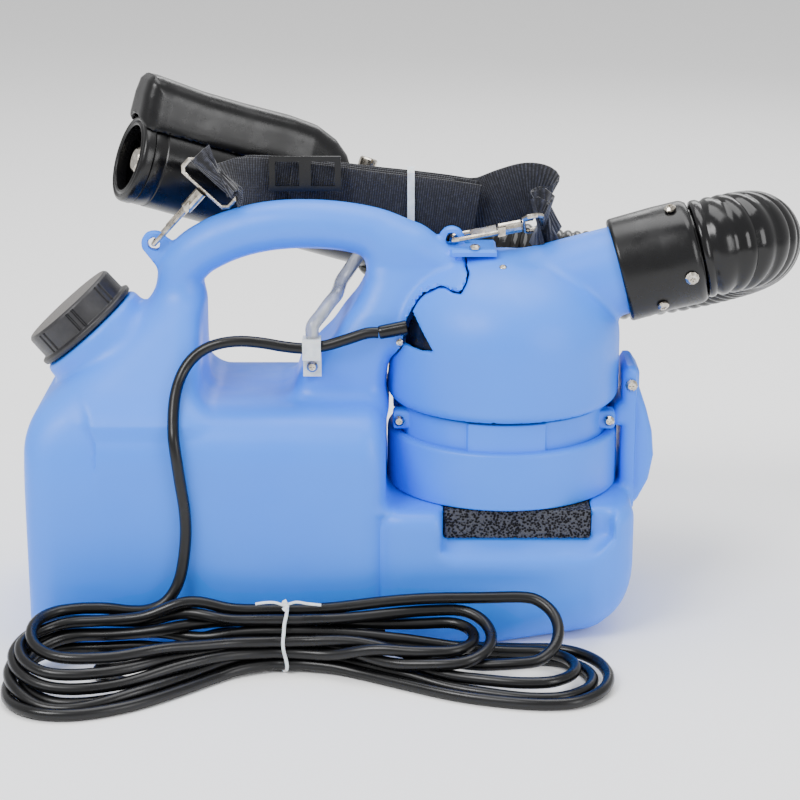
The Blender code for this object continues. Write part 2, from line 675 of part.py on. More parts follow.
def make_nozzle():
    length = (NOZZLE_MOUTH - NOZZLE_REAR).length
    back = -NOZZLE_AXIS
    barrel = [(25.6, 9), (BARREL_RADIUS, 9), (BARREL_RADIUS, length + 16), (26.5, length + 16),
              (26.5, 30), (25.6, 30)]
    place("nozzle_barrel", lathe(barrel, NOZZLE_MOUTH, back, 24), "black_plastic")
    bezel = [(22.5, 0.5), (27, 0), (30.2, 2), (30.4, 8.7), (22.5, 8.7)]
    place("nozzle_bezel", lathe(bezel, NOZZLE_MOUTH, back, 24), "black_plastic")
    swirl = place("swirl_core", rod(13, nozzle_point(12), nozzle_point(34), 20), "black_plastic")
    for step in range(4):
        turn = math.pi * step / 4
        side = NOZZLE_AXIS.cross(NOZZLE_UP)
        reach = (side * math.cos(turn) + NOZZLE_UP * math.sin(turn)) * 25.2
        thick = (NOZZLE_UP * math.cos(turn) - side * math.sin(turn)) * 1.2
        middle = [nozzle_point(16), nozzle_point(28)]
        join(swirl, hull([m + reach * i + thick * j for m in middle for i in (-1, 1) for j in (-1, 1)]))
    button = [(0, 5), (7, 5), (9, 7), (9, 11.7), (0, 11.7)]
    place("nozzle_tip", lathe(button, NOZZLE_MOUTH, back, 20), "nickel")
    joiner = [(BARREL_RADIUS + 0.4, 0), (34, 0), (35.5, 2), (35.5, CONNECTOR_LENGTH - 2),
              (34, CONNECTOR_LENGTH),
              (HOSE_BORE, CONNECTOR_LENGTH), (HOSE_BORE, 17), (BARREL_RADIUS + 0.4, 17)]
    place("nozzle_connector", lathe(joiner, NOZZLE_REAR, back, 24), "black_rubber")
    make_grip()
    make_valve()


def grip_outline(inset, start, reach):
    """The hood over the barrel, as rings of points from the mouth to its closed rear end."""
    rings = []
    heights = [(start, 59.0), (14, 57.0), (70, 57.5), (118, GRIP_HEIGHT), (138, 53.0), (152, 44.0),
               (reach, 34.0)]
    for along, top in heights:
        half = GRIP_HALF_WIDTH - inset + (2.5 if along < 5 else 0) - (4 if along > 145 else 0)
        top -= inset
        corners = [(-half, 16), (half, 16), (half, top - 11), (half - 4, top - 3), (half - 11, top),
                   (11 - half, top), (4 - half, top - 3), (-half, top - 11)]
        rings.append([nozzle_point(along, across, up) for across, up in corners])
    return lofted(rings)


def make_grip():
    grip = place("nozzle_grip", grip_outline(0, 0, 160), "black_plastic")
    cut(grip, grip_outline(WALL, -1, 155))
    cut(grip, rod(30.7, nozzle_point(-4), nozzle_point(180), 36))


def make_valve():
    root = nozzle_point(170.5)
    body = lathe([(0, 30.3), (8, 30.3), (8, 38), (0, 38)], root, NOZZLE_UP, 18)
    place("flow_valve", body, "black_plastic")
    origin = nozzle_point(170.5, 0, 38.3)
    outline = [(0, 0), (6.5, 0), (6.5, 6.5), (5.5, 7.5), (0, 7.5)]
    knob = place("flow_knob", lathe(outline, origin, NOZZLE_UP, 20), "nickel", origin)
    side = NOZZLE_AXIS.cross(NOZZLE_UP)
    slot = [origin + NOZZLE_UP * u + side * s + NOZZLE_AXIS * a
            for u in (5, 9) for s in (-8, 8) for a in (-0.8, 0.8)]
    cut(knob, hull(slot))
    inlet = nozzle_point(170.5, 0, 34)
    side_out = Vector((0, -1, 0.1)).normalized()
    route = TUBE_ROUTE + [tuple(inlet + side_out * r + Vector((2, 0, d))) for r, d in ((24, -8), (15, -1))]
    route += [tuple(inlet + side_out * 9.0)]
    place("liquid_tube", tube_mesh(smooth_path(route, 28), TUBE_RADIUS, 0, 8), "clear_tube")


# ---------------------------------------------------------------- cord

def cord_curve(name, path, radius):
    curve = bpy.data.curves.new(name, "CURVE")
    curve.dimensions = "3D"
    curve.bevel_depth = radius * MM
    curve.bevel_resolution = 2
    curve.use_fill_caps = True
    spline = curve.splines.new("POLY")
    spline.points.add(len(path) - 1)
    for point, place_at in zip(spline.points, path):
        point.co = (*(place_at * MM), 1)
    curve.materials.append(finish("black_rubber"))
    item = bpy.data.objects.new(name, curve)
    bpy.context.scene.collection.objects.link(item)
    return item


def make_cord():
    path = smooth_path(CORD_ROUTE, 34)
    cord_curve("cord_tube", path, CORD_RADIUS)
    strain = [(0, 0), (4.6, 0), (6.2, 20), (6.2, 27), (0, 27)]
    place("cord_gland", lathe(strain, GLAND_TIP, GLAND_ROOT - GLAND_TIP, 16), "black_rubber")
    place("cord_hank", prism(HANK_OUTLINE, *HANK_Z, "z"), "black_rubber")
    low, high = HANK_Z
    tie = place("hank_tie", box((HANK_WAIST_X - 1.5, -155, 0.3), (HANK_WAIST_X + 1.5, -105.2, high + 2.4)),
                "white_nylon")
    cut(tie, box((HANK_WAIST_X - 3, -153.2, 2.4), (HANK_WAIST_X + 3, -107.2, high + 0.4)))
    plug = hull([(x, y, z) for x in (-12, 20) for y in (-107.7, -94) for z in (2, 24)]
                + [(-16, y, z) for y in (-105, -97) for z in (6, 20)])
    plug = place("plug", plug, "black_plastic")
    for z in (7, 19):
        join(plug, rod(2.2, (18, -100.5, z), (38, -100.5, z), 10))
    make_clip(path)


def make_clip(path):
    clip = place("cord_clip", box((-16, -41.6, 174), (-4, -39.4, 192)), "white_nylon")
    join(clip, box((-16, -53.4, 188), (-4, -39.4, 201.3)))
    cut(clip, tube_mesh(path, CORD_RADIUS + 0.4, 0, 14))


# ---------------------------------------------------------------- strap and hooks

def make_strap():
    rings = []
    for x, y, z, thick in STRAP_PATH:
        high = STRAP_HALF_HEIGHT
        section = [(-thick, -high + 3), (-thick + 3, -high), (thick - 3, -high), (thick, -high + 3),
                   (thick, high - 3), (thick - 3, high), (-thick + 3, high), (-thick, high - 3)]
        rings.append([Vector((x, y + across, z + up)) for across, up in section])
    place("strap_bundle", lofted(rings), "black_webbing")
    fin = [(112.6, 262), (113, 287), (140, 305), (150, 286), (152, 251), (130, 250.5)]
    place("strap_loop", hull([(x, y, z) for x, z in fin for y in (20.3, 44)]), "black_webbing")
    slider = place("strap_slider", box((-40, 20.0, 285.5), (8, 22.6, 309)), "black_plastic")
    for low, high in ((-36, -20), (-12, 4)):
        cut(slider, box((low, 18, 289), (high, 25, 305.5)))
    x, y, z, thick = STRAP_PATH[5]
    band = box((x - 2.4, y - thick - 2, z - 21), (x + 2.4, y + thick + 2, z + 21))
    tie = place("zip_tie", band, "white_nylon")
    cut(tie, box((x - 5, y - thick - 0.6, z - 19.6), (x + 5, y + thick + 0.6, z + 19.6)))


def make_hook(side_name, hole, pull, dee_way):
    """A sprung snap hook: its bent body, its gate, and the dee that takes the webbing."""
    def at(along, y=0.0):
        return hole + pull * along + Vector((0, y, 0))
    route = [at(34, -2), at(32, -HOOK_SIDE), at(20, -HOOK_SIDE), at(8, -HOOK_SIDE), at(1.5, -6.8),
             at(0, -3), at(0, 3),
             at(1.5, 6.8), at(8, HOOK_SIDE), at(12.5, HOOK_SIDE)]
    body = place(side_name + "_hook", tube_mesh(smooth_path(route, 16), HOOK_WIRE, 0, 8), "nickel")
    join(body, rod(4.2, at(32), at(46.9), 14))
    join(body, hull([at(a, y) + Vector((0, 0, w)) for a in (31, 36) for y in (-9, 5) for w in (-3, 3)]))
    lever = [at(a, y) + pull.cross(Vector((0, 1, 0))) * w
             for a in (13, 30.4) for y in (6.4, 8.4) for w in (-2.2, 2.2)]
    place(side_name + "_hook_gate", hull(lever), "nickel", at(30.4, 7.4))
    ends = [at(49) + dee_way * 20, at(61) + dee_way * 20, at(61) - dee_way * 20, at(49) - dee_way * 20]
    loop = []
    for i, corner in enumerate(ends):
        before, after = ends[i - 1], ends[(i + 1) % 4]
        loop += [corner + (before - corner).normalized() * 3, corner + (after - corner).normalized() * 3]
    place(side_name + "_dee_ring", tube_mesh(loop, 1.7, 0, 8, closed=True), "nickel")


# ---------------------------------------------------------------- switch and fasteners

def make_switch():
    frame = place("switch_frame", box((6, 39.4, 166), (34, 43.4, 192)), "black_plastic")
    cut(frame, box((10.5, 36, 170), (29.5, 47, 188)))
    side = [(41.4, 170.5), (41.4, 187.5), (45.4, 187), (43.4, 179), (45.4, 171)]
    rocker = hull([(x, y, z) for x in (11, 29) for y, z in side])
    place("switch_rocker", rocker, "black_plastic", (20, 41.4, 179))


def screw(name, spot, facing, radius, depth=2.6, slot_way=Vector((1, 0, 0))):
    """A domed screw head that stands a little off the surface behind it, with a cross slot."""
    facing = Vector(facing).normalized()
    loop = [(0, 0), (radius, 0), (radius, depth * 0.45), (radius * 0.62, depth), (0, depth)]
    head = place(name, lathe(loop, spot, facing, 10), "nickel")
    tip = Vector(spot) + facing * depth
    for way in (slot_way, slot_way.cross(facing)):
        across = facing.cross(way)
        groove = [tip + way * a + across * b + facing * c
                  for a in (-0.4 * radius, 0.4 * radius) for b in (-0.4, 0.4) for c in (-0.9, 1)]
        cut(head, hull(groove))


def make_fasteners():
    screw("screw_column", (202, -24.4, 163), (0, -1, 0), 4.2)
    screw("screw_ear_left", (BLOWER_X - 70, -31.4, 140.5), (0, -1, 0), 3.6)
    screw("screw_ear_right", (BLOWER_X + 70, -31.4, 140.5), (0, -1, 0), 3.6)
    screw("screw_flange", (97, -14, 253.9), (0, 0, 1), 3.8)
    screw("screw_clip", (-10, -42.0, 181), (0, -1, 0), 3.8)
    cuff_front = Vector((0, -1, 0))
    across = SPOUT_AXIS.cross(cuff_front)
    for name, along, turn, size in (("screw_cuff_low", 22, 42, 3.9), ("screw_cuff_rear", 44, 14, 4.6),
                                    ("screw_cuff_top", 42, -72, 4.0)):
        way = cuff_front * math.cos(math.radians(turn)) + across * math.sin(math.radians(turn))
        spot = SPOUT_MOUTH + SPOUT_AXIS * along + way * (CUFF_RADIUS + 0.2)
        screw(name, spot, way, size, 2.6, SPOUT_AXIS)


clear_scene()
make_tank()
make_filler()
make_blower_shells()
make_motor()
make_filter()
make_hose()
make_nozzle()
make_cord()
make_strap()
make_hook("left", LEFT_LUG, LEFT_PULL, LEFT_DEE)
make_hook("right", RIGHT_LUG, RIGHT_PULL, RIGHT_DEE)
make_switch()
make_fasteners()
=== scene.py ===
"""Looks of the electric cold fogger: detailed surfaces, cords and webbing around the CAD frame.

Lengths in this script are millimetres until a mesh is made, in the frame's own axes.
"""
import json
import math

import bmesh
import bpy
import numpy as np
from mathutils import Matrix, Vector


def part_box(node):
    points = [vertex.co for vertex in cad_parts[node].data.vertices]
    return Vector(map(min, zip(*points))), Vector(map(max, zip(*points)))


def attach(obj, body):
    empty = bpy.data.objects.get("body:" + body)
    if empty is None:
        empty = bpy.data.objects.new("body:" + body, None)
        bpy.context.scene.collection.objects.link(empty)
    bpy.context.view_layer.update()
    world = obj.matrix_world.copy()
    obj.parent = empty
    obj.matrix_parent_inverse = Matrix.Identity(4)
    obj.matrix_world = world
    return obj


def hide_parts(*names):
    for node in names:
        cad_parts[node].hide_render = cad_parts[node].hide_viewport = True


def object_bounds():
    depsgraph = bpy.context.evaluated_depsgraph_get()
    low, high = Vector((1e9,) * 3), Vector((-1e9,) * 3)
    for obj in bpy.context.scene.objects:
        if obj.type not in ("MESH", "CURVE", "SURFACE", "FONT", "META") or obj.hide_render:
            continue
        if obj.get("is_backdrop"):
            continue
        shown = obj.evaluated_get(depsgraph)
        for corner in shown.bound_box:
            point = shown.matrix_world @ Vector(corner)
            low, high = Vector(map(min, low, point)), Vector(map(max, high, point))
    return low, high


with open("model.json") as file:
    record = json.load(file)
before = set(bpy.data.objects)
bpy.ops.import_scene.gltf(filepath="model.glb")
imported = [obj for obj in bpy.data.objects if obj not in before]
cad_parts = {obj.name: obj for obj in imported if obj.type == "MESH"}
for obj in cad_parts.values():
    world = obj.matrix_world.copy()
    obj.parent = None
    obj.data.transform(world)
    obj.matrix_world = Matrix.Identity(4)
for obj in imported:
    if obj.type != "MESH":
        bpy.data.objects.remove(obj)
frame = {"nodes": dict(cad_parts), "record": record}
CAD_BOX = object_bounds()
MM = 0.001


# ================================================================ measures

BASE_TOP = 92.0
LEDGE_TOP = 157.0
LEFT_END = -199.0
HALF_DEPTH = 84.0
BLOCK_END = 38.3
POST_RIGHT = -84.0
NECK_FOOT = Vector((-162.0, 0.0, 197.0))
NECK_AXIS = Vector((-0.656, 0.0, 0.755)).normalized()
BLOWER_X = 117.0
DOME_RADIUS = 78.2
DOME_WALL = 3.2
SEAM_GAP = 1.1
HOOD_WALL = 3.0
SPOUT_MOUTH = Vector((193.5, 0.0, 236.0))
SPOUT_AXIS = Vector((math.cos(math.radians(15)), 0.0, math.sin(math.radians(15))))
SPOUT_RADIUS = 29.8
CUFF_LENGTH = 53.4
NOZZLE_MOUTH = Vector((-137.5, 45.0, 304.3))
NOZZLE_REAR = Vector((30.0, 112.4, 241.7))
NOZZLE_AXIS = (NOZZLE_MOUTH - NOZZLE_REAR).normalized()
NOZZLE_UP = (Vector((0, 0, 1)) - NOZZLE_AXIS * NOZZLE_AXIS.z).normalized()
NOZZLE_SIDE = NOZZLE_AXIS.cross(NOZZLE_UP)
NOZZLE_LENGTH = (NOZZLE_MOUTH - NOZZLE_REAR).length
CONNECTOR_LENGTH = 42.0
BARREL_RADIUS = 29.75

# The mains cord: from its gland over the ledge and down the front, then wound into the hank
CORD_RADIUS = 3.8
CORD_ROUTE = [
    (33.6, -46.0, 205.0), (26.0, -46.0, 204.6), (13.0, -46.5, 200.5), (0.0, -47.0, 196.6),
    (-14.0, -47.0, 194.5), (-28.0, -48.0, 196.0), (-42.0, -50.0, 199.0), (-56.0, -51.5, 200.6),
    (-69.0, -52.5, 199.4), (-80.0, -52.8, 195.3), (-89.0, -54.6, 188.0), (-95.0, -60.0, 178.5),
    (-98.0, -68.3, 168.0), (-98.7, -77.6, 156.0), (-97.8, -86.5, 144.5), (-96.0, -89.4, 131.0),
    (-94.0, -88.9, 114.0), (-92.0, -88.6, 98.0), (-91.5, -88.8, 82.0), (-93.0, -89.8, 66.0),
    (-95.5, -91.5, 53.0), (-99.5, -94.5, 43.5), (-106.5, -97.5, 36.0), (-116.5, -100.0, 32.5),
    (-128.0, -102.5, 33.0), (-139.0, -105.0, 35.5), (-148.0, -107.5, 37.0),
]
LEAD_OUT = [(-44.0, -110.5, 13.0), (-64.0, -110.5, 12.6), (-86.0, -110.5, 11.6), (-106.0, -111.0, 8.5),
            (-124.0, -113.5, 5.0), (-139.0, -120.5, 4.0), (-146.0, -132.0, 4.0), (-140.5, -145.0, 4.0),
            (-127.0, -150.5, 4.0), (-113.0, -146.5, 4.0), (-102.0, -137.0, 4.0), (-92.0, -125.5, 4.0),
            (-81.0, -114.5, 4.0), (-69.0, -107.0, 4.2), (-56.0, -103.0, 5.5), (-43.0, -101.4, 8.2),
            (-30.0, -101.0, 11.5), (-17.0, -101.0, 13.0)]
TIE_X = -26.0
# Each turn of the hank: its left lobe, its right lobe, and where its strands pass through the tie in
# front and behind. A lobe is its end, then y and z of its strand behind and of its strand in front.
HANK_TURNS = [
    ((-186, -109.5, 37.5, -167, 27), (149, -106, 44, -148, 16), (-126.0, 21.3), (-110.5, 37.1)),
    ((-192, -116.5, 31.5, -176, 20), (106, -107, 36, -153, 15), (-118.3, 17.35), (-118.3, 33.15)),
    ((-197, -108.0, 28.5, -180, 12), (95, -108, 28, -145, 21), (-126.0, 13.4), (-110.5, 29.2)),
    ((-190, -117.5, 22.0, -184, 4), (159, -118, 11, -168, 11), (-110.5, 5.5), (-118.3, 25.25)),
    ((-199, -108.0, 19.5, -192, 4), (170, -114, 4, -176, 4), (-118.3, 9.45), (-110.5, 21.3)),
    ((-199.5, -114.5, 12.0, -200, 4), (180, -106, 8, -184, 4), (-126.0, 5.5), (-110.5, 13.4)),
]

# The liquid's tube from the tank's outlet to the valve on the nozzle
TUBE_RADIUS = 4.5
TUBE_ROUTE = [
    (-9.6, -45.2, 202.0), (-9.4, -45.0, 209.0), (-4.0, -38.0, 215.0), (1.0, -28.0, 220.0),
    (5.0, -14.0, 222.0), (6.5, 2.0, 222.5), (8.0, 20.0, 224.0), (13.0, 38.0, 228.0),
    (20.0, 54.0, 236.0), (26.0, 63.0, 248.0),
]

# The air hose, between the faces of the cuff and the connector
HOSE_RADIUS = 33.0
HOSE_NECK = 28.2
HOSE_TUCK = 24.0
HOSE_PITCH = 8.2
HOSE_ROUTE = [
    (262.0, 1.0, 253.3), (278.0, 11.0, 254.0), (287.0, 31.0, 250.0), (289.0, 55.0, 242.0),
    (284.0, 80.0, 232.0), (268.0, 102.0, 221.0), (244.0, 116.0, 211.5), (212.0, 122.0, 205.0),
    (174.0, 122.0, 203.0), (135.0, 125.0, 208.0), (104.0, 127.5, 216.0),
]

# The folded shoulder strap: the middle of its bundle, and half the bundle's thickness
STRAP_WIDTH = 38.0
STRAP_PATH = [
    (-66.0, 18.0, 291.0, 4.5), (-40.0, 31.0, 288.0, 7.0), (0.0, 36.0, 283.0, 9.5),
    (29.0, 38.0, 279.0, 10.5), (55.0, 38.5, 276.0, 10.5), (83.0, 38.0, 272.5, 10.0),
    (112.0, 36.0, 268.0, 9.0),
]
LEFT_LUG = Vector((-116.0, 0.0, 254.5))
LEFT_PULL = Vector((0.68, 0.0, 0.733)).normalized()
LEFT_DEE = Vector((-0.733, 0.0, 0.68)).normalized()
RIGHT_LUG = Vector((82.0, 0.0, 257.5))
RIGHT_PULL = Vector((0.982, 0.0, 0.19)).normalized()
RIGHT_DEE = Vector((-0.08, -0.90, 0.42)).normalized()

# Handle: x, z and radius along its centre line
HANDLE = [
    (-99.5, 150, 15.5), (-99.5, 226, 15.5), (-92.5, 243.5, 16), (-78, 254, 16.3), (-58, 262, 16.3),
    (-35, 266.6, 16.3), (-10, 267.5, 16.2), (14, 265.3, 16.2), (34, 260, 17), (52, 251, 18),
]
LEG_FRONT = [
    (-24, 150), (-20, 172), (-8, 186), (2.7, 197), (9.9, 208), (19.4, 221), (25.5, 234.7), (26, 243),
    (36, 262), (58, 263), (78, 255), (91, 243), (90, 237), (85.5, 231.6), (76, 234), (68, 230.5),
    (61, 226), (54, 215.5), (51, 208), (48, 193), (40, 181), (37, 158.5), (37, 150),
]
COLUMN_FRONT = [
    (191, 134), (190, 141), (192, 147), (197, 151), (197, 170), (200, 175), (204, 175), (208, 170),
    (208, 159), (213.5, 143), (217.5, 128), (219, 111), (216, 94), (209, 80), (202, 73), (197, 71),
    (197, 134),
]


# ================================================================ camera, floor and lights

def look_at(thing, target):
    thing.rotation_euler = (Vector(target) - thing.location).to_track_quat("-Z", "Y").to_euler()


def add_camera():
    data = bpy.data.cameras.new("camera")
    data.sensor_width = 36
    data.lens = 99.3
    data.clip_end = 50
    camera = bpy.data.objects.new("camera", data)
    bpy.context.scene.collection.objects.link(camera)
    target = Vector((0.0476, 0, 0.1455))
    lift = math.radians(16.5)
    camera.location = target + Vector((0, -math.cos(lift), math.sin(lift))) * 1.5
    look_at(camera, target)
    bpy.context.scene.camera = camera


def add_light(name, location, size, power, target=(0.0, 0.0, 0.15), colour=(1, 1, 1)):
    data = bpy.data.lights.new(name, "AREA")
    data.shape = "RECTANGLE"
    data.size, data.size_y = size
    data.energy = power
    data.color = colour
    light = bpy.data.objects.new(name, data)
    bpy.context.scene.collection.objects.link(light)
    light.location = location
    look_at(light, target)


def add_studio():
    floor = bpy.data.meshes.new("floor")
    floor.from_pydata([(-9, -6, 0), (9, -6, 0), (9, 12, 0), (-9, 12, 0)], [], [(0, 1, 2, 3)])
    ground = bpy.data.objects.new("floor", floor)
    bpy.context.scene.collection.objects.link(ground)
    pale = bpy.data.materials.new("floor_pale")
    pale.use_nodes = True
    shader = pale.node_tree.nodes["Principled BSDF"]
    shader.inputs["Base Color"].default_value = (0.97, 0.97, 0.97, 1)
    shader.inputs["Roughness"].default_value = 0.7
    shader.inputs["Specular IOR Level"].default_value = 0.15
    floor.materials.append(pale)
    ground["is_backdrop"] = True
    world = bpy.data.worlds.new("studio")
    world.use_nodes = True
    world.node_tree.nodes["Background"].inputs["Color"].default_value = (1, 1, 1, 1)
    world.node_tree.nodes["Background"].inputs["Strength"].default_value = 0.85
    bpy.context.scene.world = world
    add_light("key", (-1.1, -1.3, 1.9), (1.1, 0.9), 50)
    add_light("top", (0.2, 0.3, 2.1), (1.8, 1.2), 36)
    add_light("fill", (1.7, -1.6, 0.9), (0.8, 1.2), 20)
    add_light("rim", (0.6, 1.9, 1.3), (1.4, 0.6), 12)


# ================================================================ materials

def linear(red, green, blue):
    """Linear colour from the usual 0 to 255 values."""
    return tuple((c / 255 / 12.92 if c < 11 else ((c / 255 + 0.055) / 1.055) ** 2.4)
                 for c in (red, green, blue)) + (1.0,)


class Recipe:
    """A material with one Principled shader, and short ways to add the nodes that shape it."""

    def __init__(self, name, roughness=0.5, metallic=0.0, specular=0.5):
        self.material = bpy.data.materials.new(name)
        self.material.use_nodes = True
        self.tree = self.material.node_tree
        self.shader = self.tree.nodes["Principled BSDF"]
        self.shader.inputs["Roughness"].default_value = roughness
        self.shader.inputs["Metallic"].default_value = metallic
        self.shader.inputs["Specular IOR Level"].default_value = specular
        self.place = self.tree.nodes.new("ShaderNodeTexCoord").outputs["Object"]
        self.normal = None

    def set(self, socket, value):
        self.shader.inputs[socket].default_value = value
        return self

    def stretched(self, scale, source=None):
        node = self.tree.nodes.new("ShaderNodeMapping")
        node.inputs["Scale"].default_value = scale
        self.tree.links.new(source or self.place, node.inputs["Vector"])
        return node.outputs["Vector"]

    def noise(self, scale, detail=3.0, rough=0.5, source=None):
        node = self.tree.nodes.new("ShaderNodeTexNoise")
        node.inputs["Scale"].default_value = scale
        node.inputs["Detail"].default_value = detail
        node.inputs["Roughness"].default_value = rough
        self.tree.links.new(source or self.place, node.inputs["Vector"])
        return node.outputs["Fac"]

    def cells(self, scale, feature="F1", source=None):
        node = self.tree.nodes.new("ShaderNodeTexVoronoi")
        node.feature = feature
        node.inputs["Scale"].default_value = scale
        self.tree.links.new(source or self.place, node.inputs["Vector"])
        return node.outputs["Distance"]

    def attribute(self, name):
        node = self.tree.nodes.new("ShaderNodeAttribute")
        node.attribute_name = name
        return node.outputs["Vector"]

    def part(self, source, axis):
        node = self.tree.nodes.new("ShaderNodeSeparateXYZ")
        self.tree.links.new(source, node.inputs[0])
        return node.outputs[axis]

    def math(self, operation, first, second=0.0, clamp=False):
        node = self.tree.nodes.new("ShaderNodeMath")
        node.operation = operation
        node.use_clamp = clamp
        for socket, value in zip(node.inputs, (first, second)):
            if isinstance(value, (int, float)):
                socket.default_value = value
            else:
                self.tree.links.new(value, socket)
        return node.outputs[0]

    def spread(self, source, low, high, to_low, to_high):
        node = self.tree.nodes.new("ShaderNodeMapRange")
        for key, value in (("From Min", low), ("From Max", high), ("To Min", to_low), ("To Max", to_high)):
            node.inputs[key].default_value = value
        self.tree.links.new(source, node.inputs["Value"])
        return node.outputs["Result"]

    def colour(self, source, *stops):
        """Base colour from a factor: each stop is a position and a linear colour."""
        node = self.tree.nodes.new("ShaderNodeValToRGB")
        ramp = node.color_ramp
        while len(ramp.elements) < len(stops):
            ramp.elements.new(0.5)
        for element, (position, shade) in zip(ramp.elements, stops):
            element.position = position
            element.color = shade
        self.tree.links.new(source, node.inputs["Fac"])
        self.tree.links.new(node.outputs["Color"], self.shader.inputs["Base Color"])
        return self

    def rough(self, source, low, high, to_low, to_high):
        self.tree.links.new(self.spread(source, low, high, to_low, to_high), self.shader.inputs["Roughness"])
        return self

    def bump(self, source, depth, strength=1.0):
        node = self.tree.nodes.new("ShaderNodeBump")
        node.inputs["Distance"].default_value = depth
        node.inputs["Strength"].default_value = strength
        self.tree.links.new(source, node.inputs["Height"])
        if self.normal:
            self.tree.links.new(self.normal, node.inputs["Normal"])
        self.normal = node.outputs["Normal"]
        self.tree.links.new(self.normal, self.shader.inputs["Normal"])
        return self

    def worn(self, source, amount):
        """Fine scuffs, pressed a little into the surface where the noise is strongest."""
        return self.bump(self.spread(source, 0.62, 0.7, 0, 1), 0.00006, amount)


def blue_plastic():
    made = Recipe("blue_plastic", 0.42, specular=0.42)
    clouds = made.noise(9, 3)
    made.colour(clouds, (0.25, linear(36, 124, 250)), (0.75, linear(46, 133, 255)))
    made.rough(made.noise(60, 4, 0.6), 0.3, 0.7, 0.36, 0.5)
    made.bump(made.noise(38, 2), 0.0005, 0.25)
    made.bump(made.noise(1500, 2), 0.00004, 0.35)
    made.worn(made.noise(90, 5, 0.65, made.stretched((1, 1, 9))), 0.3)
    return made.material


def black_moulding(name, tone, roughness, grain):
    made = Recipe(name, roughness, specular=0.36)
    dark, light = linear(tone - 3, tone - 3, tone - 2), linear(tone + 4, tone + 4, tone + 6)
    made.colour(made.noise(30, 4), (0.3, dark), (0.7, light))
    made.rough(made.noise(45, 4, 0.6), 0.3, 0.7, roughness - 0.07, roughness + 0.09)
    made.bump(made.noise(40, 2), 0.0006, 0.2)
    made.bump(made.noise(1400, 3), 0.00005, grain)
    made.worn(made.noise(120, 5, 0.6, made.stretched((1, 6, 1))), 0.4)
    return made.material


def metal(name, light, dark, roughness, brushed=0.0):
    made = Recipe(name, roughness, 1.0)
    made.colour(made.noise(260, 4, 0.6), (0.3, dark), (0.7, light))
    made.rough(made.noise(180, 4, 0.6), 0.3, 0.7, roughness - 0.08, roughness + 0.12)
    made.bump(made.noise(900, 3), 0.00003, 0.4)
    if brushed:
        made.bump(made.noise(900, 2, 0.5, made.stretched((0.05, 0.05, 1))), 0.00004, brushed)
    return made.material


def webbing():
    """Ribbed webbing: ribs across the ribbon and a lighter thread that wanders along each one."""
    made = Recipe("black_webbing", 0.72, specular=0.3)
    weave = made.attribute("weave")
    along, across = made.part(weave, 0), made.part(weave, 1)
    rib = made.math("SINE", made.math("MULTIPLY", along, 2 * math.pi / 0.0016))
    strands = made.math("SINE", made.math("MULTIPLY", across, 2 * math.pi / 0.0011))
    height = made.math("ADD", rib, made.math("MULTIPLY", strands, 0.35))
    tone = made.math("ADD", made.math("MULTIPLY", height, 0.28), made.noise(500, 3))
    made.colour(tone, (0.25, linear(13, 13, 17)), (0.62, linear(30, 31, 38)), (0.9, linear(58, 60, 70)))
    made.bump(height, 0.00028, 0.8)
    made.bump(made.noise(2200, 2), 0.00008, 0.5)
    made.set("Sheen Weight", 0.25)
    made.set("Sheen Roughness", 0.5)
    return made.material


def foam():
    made = Recipe("black_foam", 0.9, specular=0.2)
    pores = made.cells(620)
    made.colour(pores, (0.12, linear(8, 8, 10)), (0.42, linear(22, 22, 26)), (0.62, linear(74, 76, 84)))
    made.bump(pores, 0.0012, 1.0)
    made.bump(made.noise(900, 3), 0.0003, 0.6)
    return made.material


def clear_tube():
    made = Recipe("clear_tube", 0.18, specular=0.6)
    made.colour(made.noise(60, 3), (0.3, linear(168, 174, 184)), (0.7, linear(206, 210, 218)))
    made.bump(made.noise(300, 2), 0.0001, 0.3)
    made.set("Transmission Weight", 0.55)
    made.set("IOR", 1.45)
    return made.material


def nylon(name, dark, light, roughness):
    made = Recipe(name, roughness, specular=0.45)
    made.colour(made.noise(160, 4), (0.3, dark), (0.7, light))
    made.bump(made.noise(700, 3), 0.00008, 0.5)
    made.set("Subsurface Weight", 0.15)
    made.set("Subsurface Scale", 0.02)
    return made.material


def cap_plastic():
    made = Recipe("cap_plastic", 0.42, specular=0.5)
    made.colour(made.noise(200, 4, 0.7), (0.3, linear(24, 24, 27)), (0.7, linear(38, 37, 40)))
    made.bump(made.noise(1300, 3, 0.7), 0.00012, 0.8)
    made.rough(made.noise(60, 3), 0.3, 0.7, 0.34, 0.52)
    return made.material


def cap_painted_top_sheen():
    """The cap's top, painted greyer than its side as a painted sheen of the light falling on it, with a fine
    grain in its bump.
    """
    made = Recipe("cap_painted_top_sheen", 0.75, specular=0.6)
    # Painted sheen: mid greys that stand for the light on the top of the black cap
    made.colour(made.noise(900, 4, 0.8), (0.25, linear(70, 68, 67)), (0.75, linear(122, 119, 117)))
    made.bump(made.noise(1600, 4, 0.8), 0.0002, 1.0)
    return made.material


